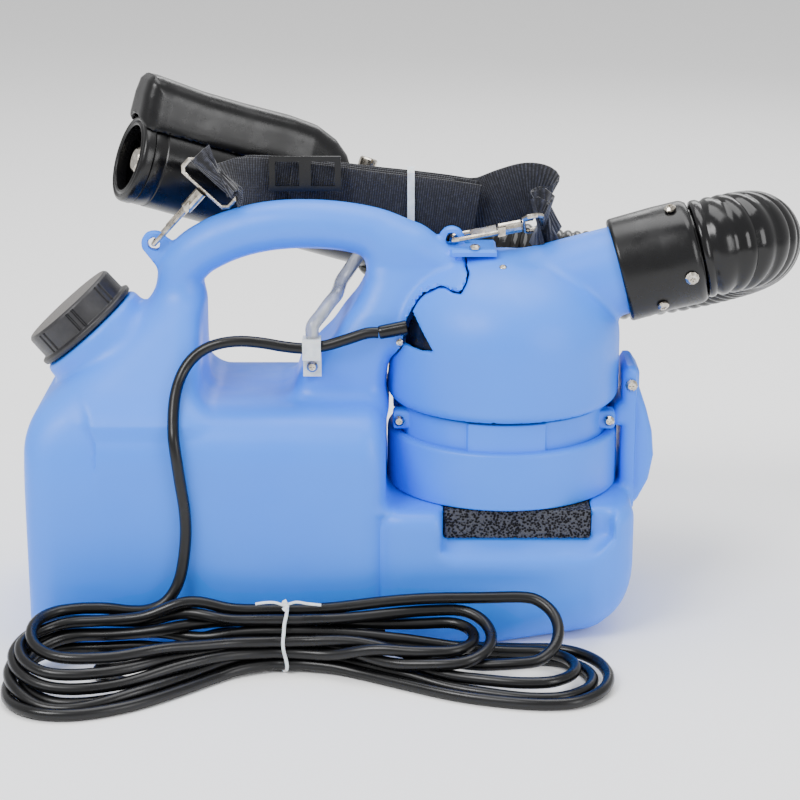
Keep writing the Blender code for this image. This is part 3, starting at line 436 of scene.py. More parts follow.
def make_materials():
    nickel_light, nickel_dark = linear(222, 216, 204), linear(150, 142, 130)
    steel_light, steel_dark = linear(190, 192, 196), linear(120, 122, 126)
    return {
        "blue_plastic": blue_plastic(),
        "black_plastic": black_moulding("black_plastic", 9, 0.27, 0.4),
        "black_rubber": black_moulding("black_rubber", 9, 0.26, 0.35),
        "cord_sheath": black_moulding("cord_sheath", 9, 0.3, 0.35),
        "hose_black": black_moulding("hose_black", 8, 0.16, 0.25),
        "black_webbing": webbing(),
        "black_foam": foam(),
        "nickel": metal("nickel", nickel_light, nickel_dark, 0.22),
        "steel": metal("steel", steel_light, steel_dark, 0.34, 0.6),
        "copper": metal("copper", linear(206, 122, 70), linear(140, 72, 38), 0.38, 0.8),
        "aluminium": metal("aluminium", linear(206, 208, 210), linear(150, 152, 156), 0.4, 0.5),
        "clear_tube": clear_tube(),
        "white_nylon": nylon("white_nylon", linear(196, 200, 206), linear(228, 230, 233), 0.42),
        "carbon": black_moulding("carbon", 26, 0.6, 0.8),
        "grey_rubber": black_moulding("grey_rubber", 90, 0.6, 0.8),
        "cap_plastic": cap_plastic(),
        "cap_painted_top_sheen": cap_painted_top_sheen(),
        "tie_white": nylon("tie_white", linear(205, 205, 208), linear(244, 244, 246), 0.55),
        "zip_grey": nylon("zip_grey", linear(150, 156, 168), linear(190, 195, 205), 0.4),
    }


# ================================================================ mesh helpers

def add_piece(name, shape, finish, body="root", replaces=(), sharp=38):
    """A smooth mesh piece. Its shape is points in millimetres and faces; its material is the finish's."""
    points, faces = shape
    mesh = bpy.data.meshes.new(name)
    mesh.from_pydata((np.asarray(points, float) * MM).tolist(), [], [tuple(f) for f in faces])
    mesh.validate()
    repair = bmesh.new()
    repair.from_mesh(mesh)
    bmesh.ops.recalc_face_normals(repair, faces=repair.faces)
    repair.to_mesh(mesh)
    repair.free()
    mesh.shade_smooth()
    mesh.set_sharp_from_angle(angle=math.radians(sharp))
    mesh.materials.append(MATERIALS[finish])
    piece = bpy.data.objects.new(name, mesh)
    bpy.context.scene.collection.objects.link(piece)
    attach(piece, body)
    if replaces:
        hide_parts(*replaces)
    return piece


def smooth_path(route, step):
    """Points a step apart along a Catmull-Rom curve through the route."""
    knots = np.asarray(route, float)
    knots = np.vstack([2 * knots[0] - knots[1], knots, 2 * knots[-1] - knots[-2]])
    fine = []
    share = np.linspace(0, 1, 24, endpoint=False)[:, None]
    for a, b, c, d in zip(knots, knots[1:], knots[2:], knots[3:]):
        fine.append((2 * b + (c - a) * share + (2 * a - 5 * b + 4 * c - d) * share ** 2
                     + (3 * b - a - 3 * c + d) * share ** 3) / 2)
    fine = np.vstack(fine + [knots[-2:-1]])
    reach = np.concatenate([[0], np.cumsum(np.linalg.norm(np.diff(fine, axis=0), axis=1))])
    even = np.linspace(0, reach[-1], max(2, int(round(reach[-1] / step)) + 1))
    return np.stack([np.interp(even, reach, fine[:, axis]) for axis in range(fine.shape[1])], axis=1)


def length_of(path):
    return float(np.linalg.norm(np.diff(np.asarray(path), axis=0), axis=1).sum())


def carried_frames(path):
    """Two directions across the path at each point, carried along without twisting."""
    ways = np.gradient(path, axis=0)
    ways /= np.linalg.norm(ways, axis=1)[:, None]
    side = np.cross(ways[0], (0, 0, 1.0))
    if np.linalg.norm(side) < 0.1:
        side = np.cross(ways[0], (0, 1.0, 0))
    sides = []
    for way in ways:
        side = side - way * (side @ way)
        side /= np.linalg.norm(side)
        sides.append(side)
    sides = np.array(sides)
    return ways, sides, np.cross(ways, sides)


def ring_faces(rings, count, closed_ends=True, loop=False):
    faces = []
    for ring in range(rings if loop else rings - 1):
        here, there = ring * count, (ring + 1) % rings * count
        for i in range(count):
            j = (i + 1) % count
            faces.append((here + i, here + j, there + j, there + i))
    if closed_ends and not loop:
        faces.append(tuple(range(count)))
        faces.append(tuple(range((rings - 1) * count, rings * count)))
    return faces


def tube(path, radii, count):
    """Points and faces of a round tube with a radius at each point of its path."""
    ways, sides, ups = carried_frames(path)
    turns = np.linspace(0, 2 * math.pi, count, endpoint=False)
    rims = (sides[:, None] * np.cos(turns)[None, :, None] + ups[:, None] * np.sin(turns)[None, :, None])
    radii = np.broadcast_to(np.asarray(radii, float), (len(path),))
    points = path[:, None] + rims * radii[:, None, None]
    return points.reshape(-1, 3), ring_faces(len(path), count)


def rounded(profile, radius):
    """A closed outline with its corners rounded; each corner may carry its own radius as a third value."""
    spots = [np.array(p[:2], float) for p in profile]
    sizes = [p[2] if len(p) > 2 else radius for p in profile]
    made = []
    for i, (spot, size) in enumerate(zip(spots, sizes)):
        before, after = spots[i - 1] - spot, spots[(i + 1) % len(spots)] - spot
        reach = min(size, 0.48 * np.linalg.norm(before), 0.48 * np.linalg.norm(after))
        if reach < 0.05:
            made.append(tuple(spot))
            continue
        start = spot + before / np.linalg.norm(before) * reach
        end = spot + after / np.linalg.norm(after) * reach
        for t in (0, 0.25, 0.5, 0.75, 1):
            made.append(tuple(start * (1 - t) ** 2 + spot * 2 * t * (1 - t) + end * t ** 2))
    return made


def axis_frame(axis):
    side = Vector(axis).cross(Vector((0, 1, 0)) if abs(axis.y) < 0.9 else Vector((1, 0, 0))).normalized()
    return side, Vector(axis).cross(side)


def lathe(profile, origin, axis, count=96, swell=None):
    """Turns a closed outline of (radius, distance along) round an axis. swell adds to the radius by angle."""
    side, up = axis_frame(axis)
    points = []
    for turn in np.linspace(0, 2 * math.pi, count, endpoint=False):
        way = side * math.cos(turn) + up * math.sin(turn)
        for radius, along in profile:
            more = swell(turn, radius, along) if swell else 0.0
            points.append(tuple(Vector(origin) + Vector(axis) * along + way * max(radius + more, 0.0)))
    return points, ring_faces(count, len(profile), loop=True)


# ---------------------------------------------------------------- signed distance fields

def smooth_min(a, b, k):
    share = np.clip(0.5 + 0.5 * (b - a) / np.maximum(k, 1e-3), 0, 1)
    return b * (1 - share) + a * share - k * share * (1 - share)


def smooth_max(a, b, k):
    return -smooth_min(-a, -b, k)


def polygon(x, z, corners):
    """Signed distance to an outline in a plane, negative inside."""
    near = np.full(x.shape, 1e12)
    inside = np.zeros(x.shape, bool)
    for (ax, az), (bx, bz) in zip(corners, corners[1:] + corners[:1]):
        ex, ez = bx - ax, bz - az
        share = np.clip(((x - ax) * ex + (z - az) * ez) / (ex * ex + ez * ez), 0, 1)
        near = np.minimum(near, (x - ax - ex * share) ** 2 + (z - az - ez * share) ** 2)
        if az != bz:
            inside ^= ((az > z) != (bz > z)) & (x < ax + ex * (z - az) / (bz - az))
    return np.where(inside, -1, 1) * np.sqrt(near)


def along_axis(p, origin, axis):
    """Distance along an axis from its origin, and distance from it."""
    rel = p - np.array(origin)
    along = rel @ np.array(axis)
    away = np.linalg.norm(rel - along[:, None] * np.array(axis), axis=1)
    return along, away


def chain(x, y, z, stations, k):
    """Smooth union of round links through stations of (x, z, radius) in the plane y = 0."""
    made = None
    for (ax, az, ar), (bx, bz, br) in zip(stations, stations[1:]):
        ex, ez = bx - ax, bz - az
        share = np.clip(((x - ax) * ex + (z - az) * ez) / (ex * ex + ez * ez), 0, 1)
        link = np.sqrt((x - ax - ex * share) ** 2 + y ** 2 + (z - az - ez * share) ** 2)
        link = link - (ar + (br - ar) * share)
        made = link if made is None else smooth_min(made, link, k)
    return made


def net_surface(field, low, high, step):
    """Points and faces of the surface where the field is zero, by surface nets and a few Newton steps."""
    axes = [np.arange(a, b + step, step) for a, b in zip(low, high)]
    grid = np.stack(np.meshgrid(*axes, indexing="ij"), axis=-1)
    value = field(grid.reshape(-1, 3)).reshape(grid.shape[:3])
    size = np.array(value.shape) - 1
    corners = [(i, j, k) for i in (0, 1) for j in (0, 1) for k in (0, 1)]

    def corner(spot):
        return tuple(slice(s, s + n) for s, n in zip(spot, size))

    inside = np.stack([value[corner(c)] < 0 for c in corners])
    mixed = inside.any(0) & ~inside.all(0)
    total = np.zeros(tuple(size) + (3,))
    hits = np.zeros(tuple(size))
    for first in corners:
        for axis in range(3):
            if first[axis]:
                continue
            second = tuple(1 if a == axis else s for a, s in enumerate(first))
            va, vb = value[corner(first)], value[corner(second)]
            cross = (va < 0) != (vb < 0)
            share = np.where(cross, va / np.where(va == vb, 1, va - vb), 0)
            for a in range(3):
                total[..., a] += np.where(cross, first[a] + (share if a == axis else 0), 0)
            hits += cross
    index = np.full(tuple(size), -1)
    index[mixed] = np.arange(mixed.sum())
    cells = np.argwhere(mixed)
    points = np.array(low) + (cells + total[mixed] / hits[mixed][:, None]) * step
    faces = []
    for axis in range(3):
        a, b = (axis + 1) % 3, (axis + 2) % 3
        ahead = np.roll(value, -1, axis)
        change = (value < 0) != (ahead < 0)
        spots = np.argwhere(change)
        keep = np.all(spots > 0, axis=1) & np.all(spots < size, axis=1)
        spots = spots[keep]
        flip = value[tuple(spots.T)] < 0
        quad = []
        for da, db in ((-1, -1), (0, -1), (0, 0), (-1, 0)):
            cell = spots.copy()
            cell[:, a] += da
            cell[:, b] += db
            quad.append(index[tuple(cell.T)])
        quad = np.stack(quad, axis=1)
        quad[~flip] = quad[~flip][:, ::-1]
        faces.append(quad[(quad >= 0).all(1)])
    for _ in range(3):
        here = field(points)
        slope = np.stack([field(points + d) - here for d in np.eye(3) * 0.3], axis=1) / 0.3
        steepness = np.maximum((slope ** 2).sum(1), 0.3)
        move = slope * (here / steepness)[:, None]
        reach = np.linalg.norm(move, axis=1)
        move *= np.minimum(1, 0.6 * step / np.maximum(reach, 1e-9))[:, None]
        points = points - move
    return points, np.vstack(faces)


# ================================================================ blue shells

SCOOP = [(75, 100), (75, 66), (85, 60), (160, 60), (175, 63), (187, 74), (187, 100)]
GLAND_NOTCH = [(46, 213), (55.5, 217.5), (69.5, 195.5), (60, 194.5), (46, 196)]
LEG_OUTLINE = [tuple(p) for p in smooth_path(LEG_FRONT, 5.0)]
HANDLE_LINE = [tuple(p) for p in smooth_path(HANDLE, 4.0)]

def only_near(near, field, *places):
    """A field worked out only where it matters, and a large distance elsewhere."""
    made = np.full(near.shape, 60.0)
    made[near] = field(*(place[near] for place in places))
    return made


def dome_body(x, y, z):
    """The plain dome without its spout."""
    radius = np.hypot(x - BLOWER_X, y)
    rise = np.maximum(z - 191, 0) / 57.0
    upper = (np.sqrt((radius / DOME_RADIUS) ** 2.2 + rise ** 2.2) ** (1 / 1.1) - 1) * 62
    return np.where(z > 191, upper, radius - DOME_RADIUS)


def leg_shape(x, ay, z):
    """The leg, with a flap that lies flush in the dome's wall as far as the seam."""
    half = np.interp(z, [150, 200, 214, 243, 262], [39, 38.5, 34, 20, 16.5])
    outline = polygon(x, z, LEG_OUTLINE)
    flap = smooth_max(outline, np.abs(dome_body(x, ay, z) + 1.1) - 2.5, 2.2)
    flap = smooth_max(flap, 165 - z, 2)
    return smooth_min(smooth_max(outline, ay - half, 15), flap, 4)


def leg_field(x, ay, z):
    """The handle's right leg: broad where it stands on the ledge, narrow where it meets the grip."""
    return only_near((x > -60) & (x < 130) & (z > 125), leg_shape, x, ay, z)


def handle_shape(x, y, z):
    """Round handle along its centre line, with no swelling where its links meet."""
    made = np.full(x.shape, 1e9)
    for (ax, az, ar), (bx, bz, br) in zip(HANDLE_LINE, HANDLE_LINE[1:]):
        ex, ez = bx - ax, bz - az
        share = np.clip(((x - ax) * ex + (z - az) * ez) / (ex * ex + ez * ez), 0, 1)
        link = np.sqrt((x - ax - ex * share) ** 2 + y ** 2 + (z - az - ez * share) ** 2)
        made = np.minimum(made, link - ar - (br - ar) * share)
    return made


def handle_field(x, y, z):
    return only_near((x > -145) & (x < 90) & (z > 120), handle_shape, x, y, z)


def tank_field(p):
    x, y, z = p.T
    ay = np.abs(y)
    front = ay - HALF_DEPTH
    side_roof = -0.656 * (x + 115) + 0.755 * (z - 221)
    front_roof = 0.785 * (ay - HALF_DEPTH) + 0.62 * (z - 140)
    filler = smooth_max(smooth_max(LEFT_END - x, side_roof, 15), smooth_max(front, front_roof, 24), 22)
    filler = smooth_max(smooth_max(filler, x - POST_RIGHT, 16), z - 222, 10)
    ledge = smooth_max(smooth_max(front, z - LEDGE_TOP, 37), x - BLOCK_END, 16)
    ledge = np.maximum(ledge, -150 - x)
    body = smooth_min(filler, ledge, 14 * np.clip((z - 138) / 12, 0, 1))
    corner_x, corner_y = np.abs(x - 111.5) - 59.5, ay - 52
    round_plan = np.hypot(np.maximum(corner_x, 0), np.maximum(corner_y, 0))
    round_plan += np.minimum(np.maximum(corner_x, corner_y), 0) - 32
    base = smooth_max(round_plan, z - BASE_TOP, 12)
    body = smooth_min(body, base, 9 * np.clip((z - 86) / 6, 0, 1))
    column = smooth_max(polygon(x, z, COLUMN_FRONT) - 0.4, ay - np.where(x > 206, 18.5, 23.5), 6)
    body = smooth_min(body, column, 5)
    handle = handle_field(x, y, z)
    handle = smooth_min(handle, leg_field(x, ay, z), 9)
    body = smooth_min(body, handle, 12)
    along, away = along_axis(p, NECK_FOOT, NECK_AXIS)
    boss = smooth_max(away - (38.5 - 0.06 * along), along + 0.8, 5)
    boss = smooth_max(boss, -24 - along, 3)
    body = smooth_min(body, boss, 5)
    body = np.minimum(body, smooth_max(away - 28.4, smooth_max(along - 15.4, -8 - along, 1), 1))
    tab = np.maximum(np.maximum(np.abs(x - 96) - 15.6, ay - 17.6), np.abs(z - 251.2) - 2.2)
    body = np.minimum(body, tab)
    for hole, roots in ((LEFT_LUG, [(-116, 254.5, 8.5), (-106, 244, 10)]),
                        (RIGHT_LUG, [(82, 257.5, 8.5), (80, 250, 11)])):
        eye = smooth_max(chain(x, 0 * y, z, roots, 4), ay - 3.9, 2)
        body = smooth_min(body, eye, 3)
    body = smooth_max(body, -z, np.interp(x, [110, 185], [12, 52]))
    scoop = smooth_max(polygon(x, z, SCOOP), 68 - ay, 7)
    slope = smooth_max(scoop, 60.5 + (84 - ay) * 0.72 - z, 5)
    body = smooth_max(body, -slope, 6)
    slot = np.maximum(np.maximum(76 - x, x - 173.5), np.abs(z - 100) - 28.5)
    body = np.maximum(body, -slot)
    body = np.maximum(body, -np.maximum(away - 24.2, -34 - along))
    for hole in (LEFT_LUG, RIGHT_LUG):
        body = np.maximum(body, 4.2 - np.hypot(x - hole.x, z - hole.z))
    return body


def dome_field(p):
    x, y, z = p.T
    ay = np.abs(y)
    radius = np.hypot(x - BLOWER_X, y)
    body = smooth_max(dome_body(x, y, z), 150.3 - z, 9)
    along, away = along_axis(p, SPOUT_MOUTH, SPOUT_AXIS)
    spout = smooth_max(away - SPOUT_RADIUS - 0.35 * np.clip(-along - 45, 0, 30) / 10,
                       smooth_max(along - 24, -74 - along, 2), 2)
    outer = smooth_min(body, spout, 5)
    hollow = outer + DOME_WALL
    below = np.maximum(radius - 73.5, z - 156)
    shell = np.maximum(outer, -smooth_min(hollow, below, 1))
    shell = np.maximum(shell, -np.maximum(away - 26.8, -74 - along))
    shell = np.maximum(shell, SEAM_GAP - leg_field(x, ay, z))
    notch = np.maximum(polygon(x, z, GLAND_NOTCH), y + 30)
    shell = np.maximum(shell, -notch)
    tab = np.maximum(np.maximum(np.abs(x - 96) - 16.4, ay - 18.4), 248.6 - z)
    return np.maximum(shell, -tab)


def add_blue_shells():
    shape = net_surface(tank_field, (-203, -87, -3), (223, 87, 288), 2.4)
    add_piece("tank_body", shape, "blue_plastic", replaces=["tank_shell"])
    shape = net_surface(dome_field, (35, -81, 147), (221, 81, 268), 1.6)
    add_piece("dome_cover", shape, "blue_plastic", replaces=["blower_dome"])

    def boot(p):
        """The dark rubber behind the notch where the cord goes in."""
        x, y, z = p.T
        sheet = np.abs(dome_body(x, y, z) + 5.6) - 1.3
        return smooth_max(smooth_max(polygon(x, z, GLAND_NOTCH) - 2.0, sheet, 1), y + 30, 1)

    shape = net_surface(boot, (42, -66, 190), (74, -28, 222), 1.1)
    add_piece("gland_boot", shape, "black_rubber")
    ring = rounded([(71.0, 92.5, 1), (77.9, 92.5, 1.5), (77.9, 131.0, 8), (71.0, 131.0, 1.5)], 1)
    shape = lathe(ring, (BLOWER_X, 0, 0), Vector((0, 0, 1)), 128)
    add_piece("blower_band", shape, "blue_plastic", replaces=["blower_ring"])

    def pads(turn, radius, along):
        """Two broad raised pads, at the front and at the back."""
        if radius < 69:
            return 0.0
        off = abs(abs(math.atan2(math.sin(turn), math.cos(turn))) - math.pi / 2)
        return 2.4 * min(max((math.radians(22) - off) / math.radians(1.4), 0), 1)

    neck = rounded([(67, 122, 0), (70.3, 122, 0), (70.3, 149.6, 1.5), (67, 149.6, 0)], 1)
    shape = lathe(neck, (BLOWER_X, 0, 0), Vector((0, 0, 1)), 180, pads)
    add_piece("flange_neck", shape, "blue_plastic", replaces=["motor_flange"])
    for side, name in ((-1, "left"), (1, "right")):
        def ear(p, side=side):
            x, y, z = p.T
            box = np.maximum(np.abs(x - BLOWER_X - side * 67.2) - 7, np.abs(np.abs(y) - 24.5) - 6.3)
            return smooth_max(box, np.abs(z - 140.5) - 6.4, 3)
        middle = BLOWER_X + side * 67.2
        shape = net_surface(ear, (middle - 9, -33, 132), (middle + 9, 33, 149), 1.6)
        add_piece("flange_ears_" + name, shape, "blue_plastic")


# ================================================================ cap and small black parts

def add_cap():
    def ribs(turn, radius, along):
        """Pairs of thin grooves, eight round the skirt."""
        if radius < 34.2 or along < 5 or along > 19.5:
            return 0.0
        step = round(turn / (2 * math.pi) * 288) % 36
        return -1.1 if step in (5, 6, 11, 12) else 0.0

    outline = rounded([(29.2, 17.8, 0), (29.2, 0.2, 0.5), (37.6, 0.2, 0.8), (38.1, 3.4, 1.2),
                       (34.6, 4.8, 0.8), (34.6, 6.0, 0), (34.4, 17.6, 0), (34.3, 19.3, 1.2),
                       (32.6, 21.1, 0.8), (0.0, 21.6, 0), (0.0, 17.8, 0)], 0.5)
    shape = lathe(outline, NECK_FOOT, NECK_AXIS, 288, ribs)
    cap = add_piece("filler_cap", shape, "cap_plastic", "cap", ["tank_cap"])
    cap.data.materials.append(MATERIALS["cap_painted_top_sheen"])
    axis = np.array(NECK_AXIS)
    # Faces facing up on the top take the lighter grey, a painted sheen of the light from above
    for face in cap.data.polygons:
        centre = np.array(face.center) / MM - np.array(NECK_FOOT)
        if centre @ axis > 20.9 and np.array(face.normal) @ axis > 0.9:
            face.material_index = 1


def add_cuff_and_connector():
    outline = rounded([(30.3, 0, 0.4), (34.4, 0, 1), (35.4, 1.6, 1), (35.3, 30, 1), (35.5, 49, 1),
                       (34.6, 51.4, 1), (33.0, 53.2, 1), (28.8, 53.2, 0.4), (28.8, 26, 0.4),
                       (30.3, 26, 0.4)], 1)

    def dents(turn, radius, along):
        if radius < 33:
            return 0.0
        return 0.25 * math.sin(3 * turn + 0.08 * along) + 0.15 * math.sin(7 * turn - 0.11 * along) - 0.4

    shape = lathe(outline, SPOUT_MOUTH, SPOUT_AXIS, 120, dents)
    add_piece("spout_cuff", shape, "black_rubber", replaces=["hose_cuff"])
    outline = rounded([(30.3, 0, 0.4), (33.8, 0, 1), (35.4, 2, 1), (35.4, 39, 1), (34, 41.8, 1),
                       (28.8, 41.8, 0.4), (28.8, 17, 0.4), (30.3, 17, 0.4)], 1)
    shape = lathe(outline, NOZZLE_REAR, -NOZZLE_AXIS, 120, dents)
    add_piece("nozzle_joiner", shape, "black_rubber", replaces=["nozzle_connector"])


def add_hose():
    start = SPOUT_MOUTH + SPOUT_AXIS * CUFF_LENGTH
    rear = NOZZLE_REAR - NOZZLE_AXIS * CONNECTOR_LENGTH
    route = [tuple(start - SPOUT_AXIS * HOSE_TUCK), tuple(start)] + HOSE_ROUTE
    route += [tuple(rear - NOZZLE_AXIS * 12), tuple(rear), tuple(rear + NOZZLE_AXIS * HOSE_TUCK)]
    path = smooth_path(route, 1.1)
    reach = np.linspace(0, length_of(path), len(path))
    end = reach[-1]
    wave = np.abs(np.sin(math.pi * (reach - HOSE_TUCK) / HOSE_PITCH))
    radii = HOSE_RADIUS - 2.0 * (1 - wave) ** 1.3
    tucked = (reach < HOSE_TUCK + 0.4) | (reach > end - HOSE_TUCK - 0.4)
    radii = np.where(tucked, HOSE_NECK, radii)
    ways, sides, ups = carried_frames(path)
    turns = np.linspace(0, 2 * math.pi, 56, endpoint=False)
    rims = sides[:, None] * np.cos(turns)[None, :, None] + ups[:, None] * np.sin(turns)[None, :, None]
    outer = path[:, None] + rims * radii[:, None, None]
    inner = path[:, None] + rims * (np.minimum(radii, 33) - 1.6)[:, None, None]
    both = np.vstack([outer, inner[::-1]])
    shape = both.reshape(-1, 3), ring_faces(len(both), 56, loop=True)
    hose = add_piece("air_hose", shape, "hose_black", replaces=["flexible_hose"])


# ================================================================ nozzle

def nozzle_point(along, across=0.0, up=0.0):
    return NOZZLE_MOUTH - NOZZLE_AXIS * along + NOZZLE_SIDE * across + NOZZLE_UP * up


def add_nozzle():
    back = -NOZZLE_AXIS
    length = NOZZLE_LENGTH
    outline = rounded([(25.6, 9.1, 0), (29.6, 9.1, 0.6), (29.6, 16, 0), (29.2, 16.6, 0), (29.2, 18, 0),
                       (29.7, 18.6, 0), (29.7, length + 16, 0.5), (26.5, length + 16, 0), (26.5, 30, 0),
                       (25.6, 30, 0)], 0.5)
    shape = lathe(outline, NOZZLE_MOUTH, back, 112)
    add_piece("barrel", shape, "black_plastic", replaces=["nozzle_barrel"])
    outline = rounded([(22.6, 0.8, 0.6), (24.0, 0.2, 0.6), (26.0, 1.4, 0.5), (27.4, 0.4, 0.8),
                       (29.8, 1.6, 1.2), (30.3, 4.0, 0.5), (30.3, 8.6, 0.5), (22.6, 8.6, 0.3)], 0.5)
    shape = lathe(outline, NOZZLE_MOUTH, back, 112)
    add_piece("mouth_ring", shape, "black_plastic", replaces=["nozzle_bezel"])


def grip_field(p):
    """The hood over the barrel, in the nozzle's own axes, hollow and open to the front."""
    rel = p - np.array(NOZZLE_MOUTH)
    along = -(rel @ np.array(NOZZLE_AXIS))
    across = np.abs(rel @ np.array(NOZZLE_SIDE))
    up = rel @ np.array(NOZZLE_UP)
    outline = [(-1, 17), (-3.5, 30), (-4.5, 44), (-4, 54), (-1, 58.5), (6, 59), (40, 57), (70, 57.3),
               (105, 58.5), (124, 57.5), (140, 52), (151, 44), (158, 35), (160.5, 28), (160.5, 17)]
    half = np.interp(along, [-5, 4, 14, 60, 120, 150, 161], [21.5, 20.2, 19.4, 19.2, 19.4, 16.5, 12.5])
    half = half + np.interp(up, [17, 34, 58], [2.0, 0.4, -2.6])
    body = smooth_max(polygon(along, up, outline), across - half, 13)
    body = smooth_max(body, 16.9 - up, 1)
    hollow = np.maximum(body + HOOD_WALL, up - 56)
    opened = np.maximum(body, -hollow)
    return np.maximum(opened, BARREL_RADIUS + 0.5 - np.hypot(across, up))


def add_grip():
    corners = [nozzle_point(a, s, u) for a in (-6, 163) for s in (-24, 24) for u in (14, 62)]
    low = [min(c[i] for c in corners) for i in range(3)]
    high = [max(c[i] for c in corners) for i in range(3)]
    shape = net_surface(grip_field, low, high, 1.5)
    add_piece("nozzle_hood", shape, "black_plastic", replaces=["nozzle_grip"])


# ================================================================ cord, tube

def lobe(waist_from, waist_to, end, first, last):
    """One end of a hank turn: out along one strand, round the end, and back along the other."""
    middle, half = (first[0] + last[0]) / 2, (first[0] - last[0]) / 2
    reach = min(max(1.1 * abs(half), 20.0), 38.0) * (1 if end > TIE_X else -1)
    root = end - reach
    steps = ((0.08, 0.0), (0.26, 0.13), (0.46, 0.44), (0.68, 0.78), (0.89, 0.97))
    made = []
    for share, lean in steps:
        made.append((TIE_X + (root - TIE_X) * share, waist_from[0] + (first[0] - waist_from[0]) * lean,
                     waist_from[1] + (first[1] - waist_from[1]) * lean))
    for turn in (80, 55, 28, 0, -28, -55, -80):
        angle = math.radians(turn)
        share = 0.5 - 0.5 * math.sin(angle)
        made.append((root + reach * math.cos(angle), middle + half * math.sin(angle),
                     first[1] + (last[1] - first[1]) * share))
    for share, lean in steps[::-1]:
        made.append((TIE_X + (root - TIE_X) * share, waist_to[0] + (last[0] - waist_to[0]) * lean,
                     waist_to[1] + (last[1] - waist_to[1]) * lean))
    return made


def cord_points():
    """The whole cord: route, hank turns and the run to the plug."""
    points = CORD_ROUTE
    for number, (left, right, front, behind) in enumerate(HANK_TURNS):
        before = HANK_TURNS[number - 1][3] if number else front
        turn = lobe(before, front, left[0], left[1:3], left[3:5])
        points = points + (turn if number else turn[5:]) + [(TIE_X,) + front]
        points = points + lobe(front, behind, right[0], right[3:5], right[1:3]) + [(TIE_X,) + behind]
    return smooth_path(points + LEAD_OUT, 4.0)


def settle(path, fixed, passes=150):
    """Moves strands that would pass through each other apart, in long smooth bends."""
    count = len(path)
    width = 2 * CORD_RADIUS + 0.15
    held = fixed | (np.abs(path[:, 0] - TIE_X) < 5)
    ease = np.convolve(~held, np.ones(9) / 9, "same") * ~held
    apart = np.abs(np.arange(count)[:, None] - np.arange(count)[None, :]) < 9
    window = np.hanning(17)
    window /= window.sum()
    for _ in range(passes):
        gap = path[:, None] - path[None]
        dist = np.sqrt((gap ** 2).sum(-1))
        push = np.where((dist < width) & ~apart, (width - dist) / np.maximum(dist, 0.5), 0)
        shift = (gap * push[..., None]).sum(1) * (0, 0.35, 1.0)
        shift = np.clip(shift, -1.2, 1.2)
        for axis in (1, 2):
            path[:, axis] += 1.3 * ease * np.convolve(shift[:, axis], window, "same")
        path[:, 2] = np.where(held, path[:, 2], np.maximum(path[:, 2], CORD_RADIUS + 0.05))
        path[:, 1] = np.where(held, path[:, 1], np.clip(path[:, 1], -200.1, -104.5))
    return path


def curve_piece(name, path, radius, finish, replaces):
    """A round cord along a path, as a curve with a round bevel."""
    data = bpy.data.curves.new(name, "CURVE")
    data.dimensions = "3D"
    data.bevel_depth = radius * MM
    data.bevel_resolution = 4
    data.use_fill_caps = True
    spline = data.splines.new("POLY")
    spline.points.add(len(path) - 1)
    for point, spot in zip(spline.points, path):
        point.co = (spot[0] * MM, spot[1] * MM, spot[2] * MM, 1)
    spline.use_smooth = True
    data.materials.append(MATERIALS[finish])
    piece = bpy.data.objects.new(name, data)
    bpy.context.scene.collection.objects.link(piece)
    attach(piece, "root")
    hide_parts(*replaces)
    return piece


def add_cord():
    path = cord_points()
    tail = length_of(smooth_path(CORD_ROUTE, 4.0))
    reach = np.concatenate([[0], np.cumsum(np.linalg.norm(np.diff(path, axis=0), axis=1))])
    fixed = (reach < tail + 6) | (reach > reach[-1] - 22)
    path = settle(path, fixed)
    cord = curve_piece("mains_cord", path, CORD_RADIUS, "cord_sheath", ["cord_tube", "cord_hank"])
    sleeve = smooth_path([(33.9, -46.0, 205.0), (42.0, -46.0, 206.6), (52.0, -46.0, 208.6)], 1.0)
    widths = np.interp(np.linspace(0, 1, len(sleeve)), [0, 0.05, 0.9, 1], [4.1, 4.5, 4.8, 4.8])
    shape = tube(sleeve, widths, 24)
    add_piece("cord_sleeve", shape, "black_rubber", replaces=["cord_gland"])
    tie = add_tie()
    print("cord length", round(length_of(path)), "points", len(path))


def add_tie():
    """The white tie round the hank's waist, twisted at its top with two frayed ends."""
    loop = rounded([(-130.6, 2.2, 5), (-131.2, 12, 4), (-131.4, 23, 5), (-123.4, 37.6, 6), (-114, 42.2, 5),
                    (-106.6, 41.6, 4), (-105.9, 30, 4), (-105.6, 1.6, 4)], 5)
    lap = [(TIE_X + 1.2 * math.sin(i * 0.4), y, z) for i, (y, z) in enumerate(loop + loop[:2])]
    closed = smooth_path(lap, 1.5)
    shape = tube(closed, 1.15, 8)
    tie = add_piece("cord_tie", shape, "tie_white", replaces=["hank_tie"])
    knots = [[(-27, -119, 40), (-25, -118.4, 42.5), (-27.4, -117.6, 44), (-25, -117, 45.4)],
             [(-26, -118, 42.5), (-32, -119, 45.2), (-38, -119.5, 45.6), (-45, -119, 44.4)],
             [(-26, -117.5, 43), (-19, -117.5, 45), (-12, -118.5, 44.4), (-3, -119, 43.6)]]
    for number, route in enumerate(knots):
        shape = tube(smooth_path(route, 1.0), 0.9 if number else 1.7, 7)
        add_piece(f"cord_tie_end_{number}", shape, "tie_white")
    return tie


def add_liquid_tube():
    inlet = nozzle_point(170.5, 0, 34)
    out = Vector((0, -1, 0.1)).normalized()
    route = TUBE_ROUTE + [tuple(inlet + out * 24 + Vector((2, 0, -8))),
                          tuple(inlet + out * 15 + Vector((2, 0, -1))), tuple(inlet + out * 9)]
    path = smooth_path(route, 2.5)
    hose = curve_piece("liquid_line", path, TUBE_RADIUS, "clear_tube", ["liquid_tube"])


# ================================================================ strap

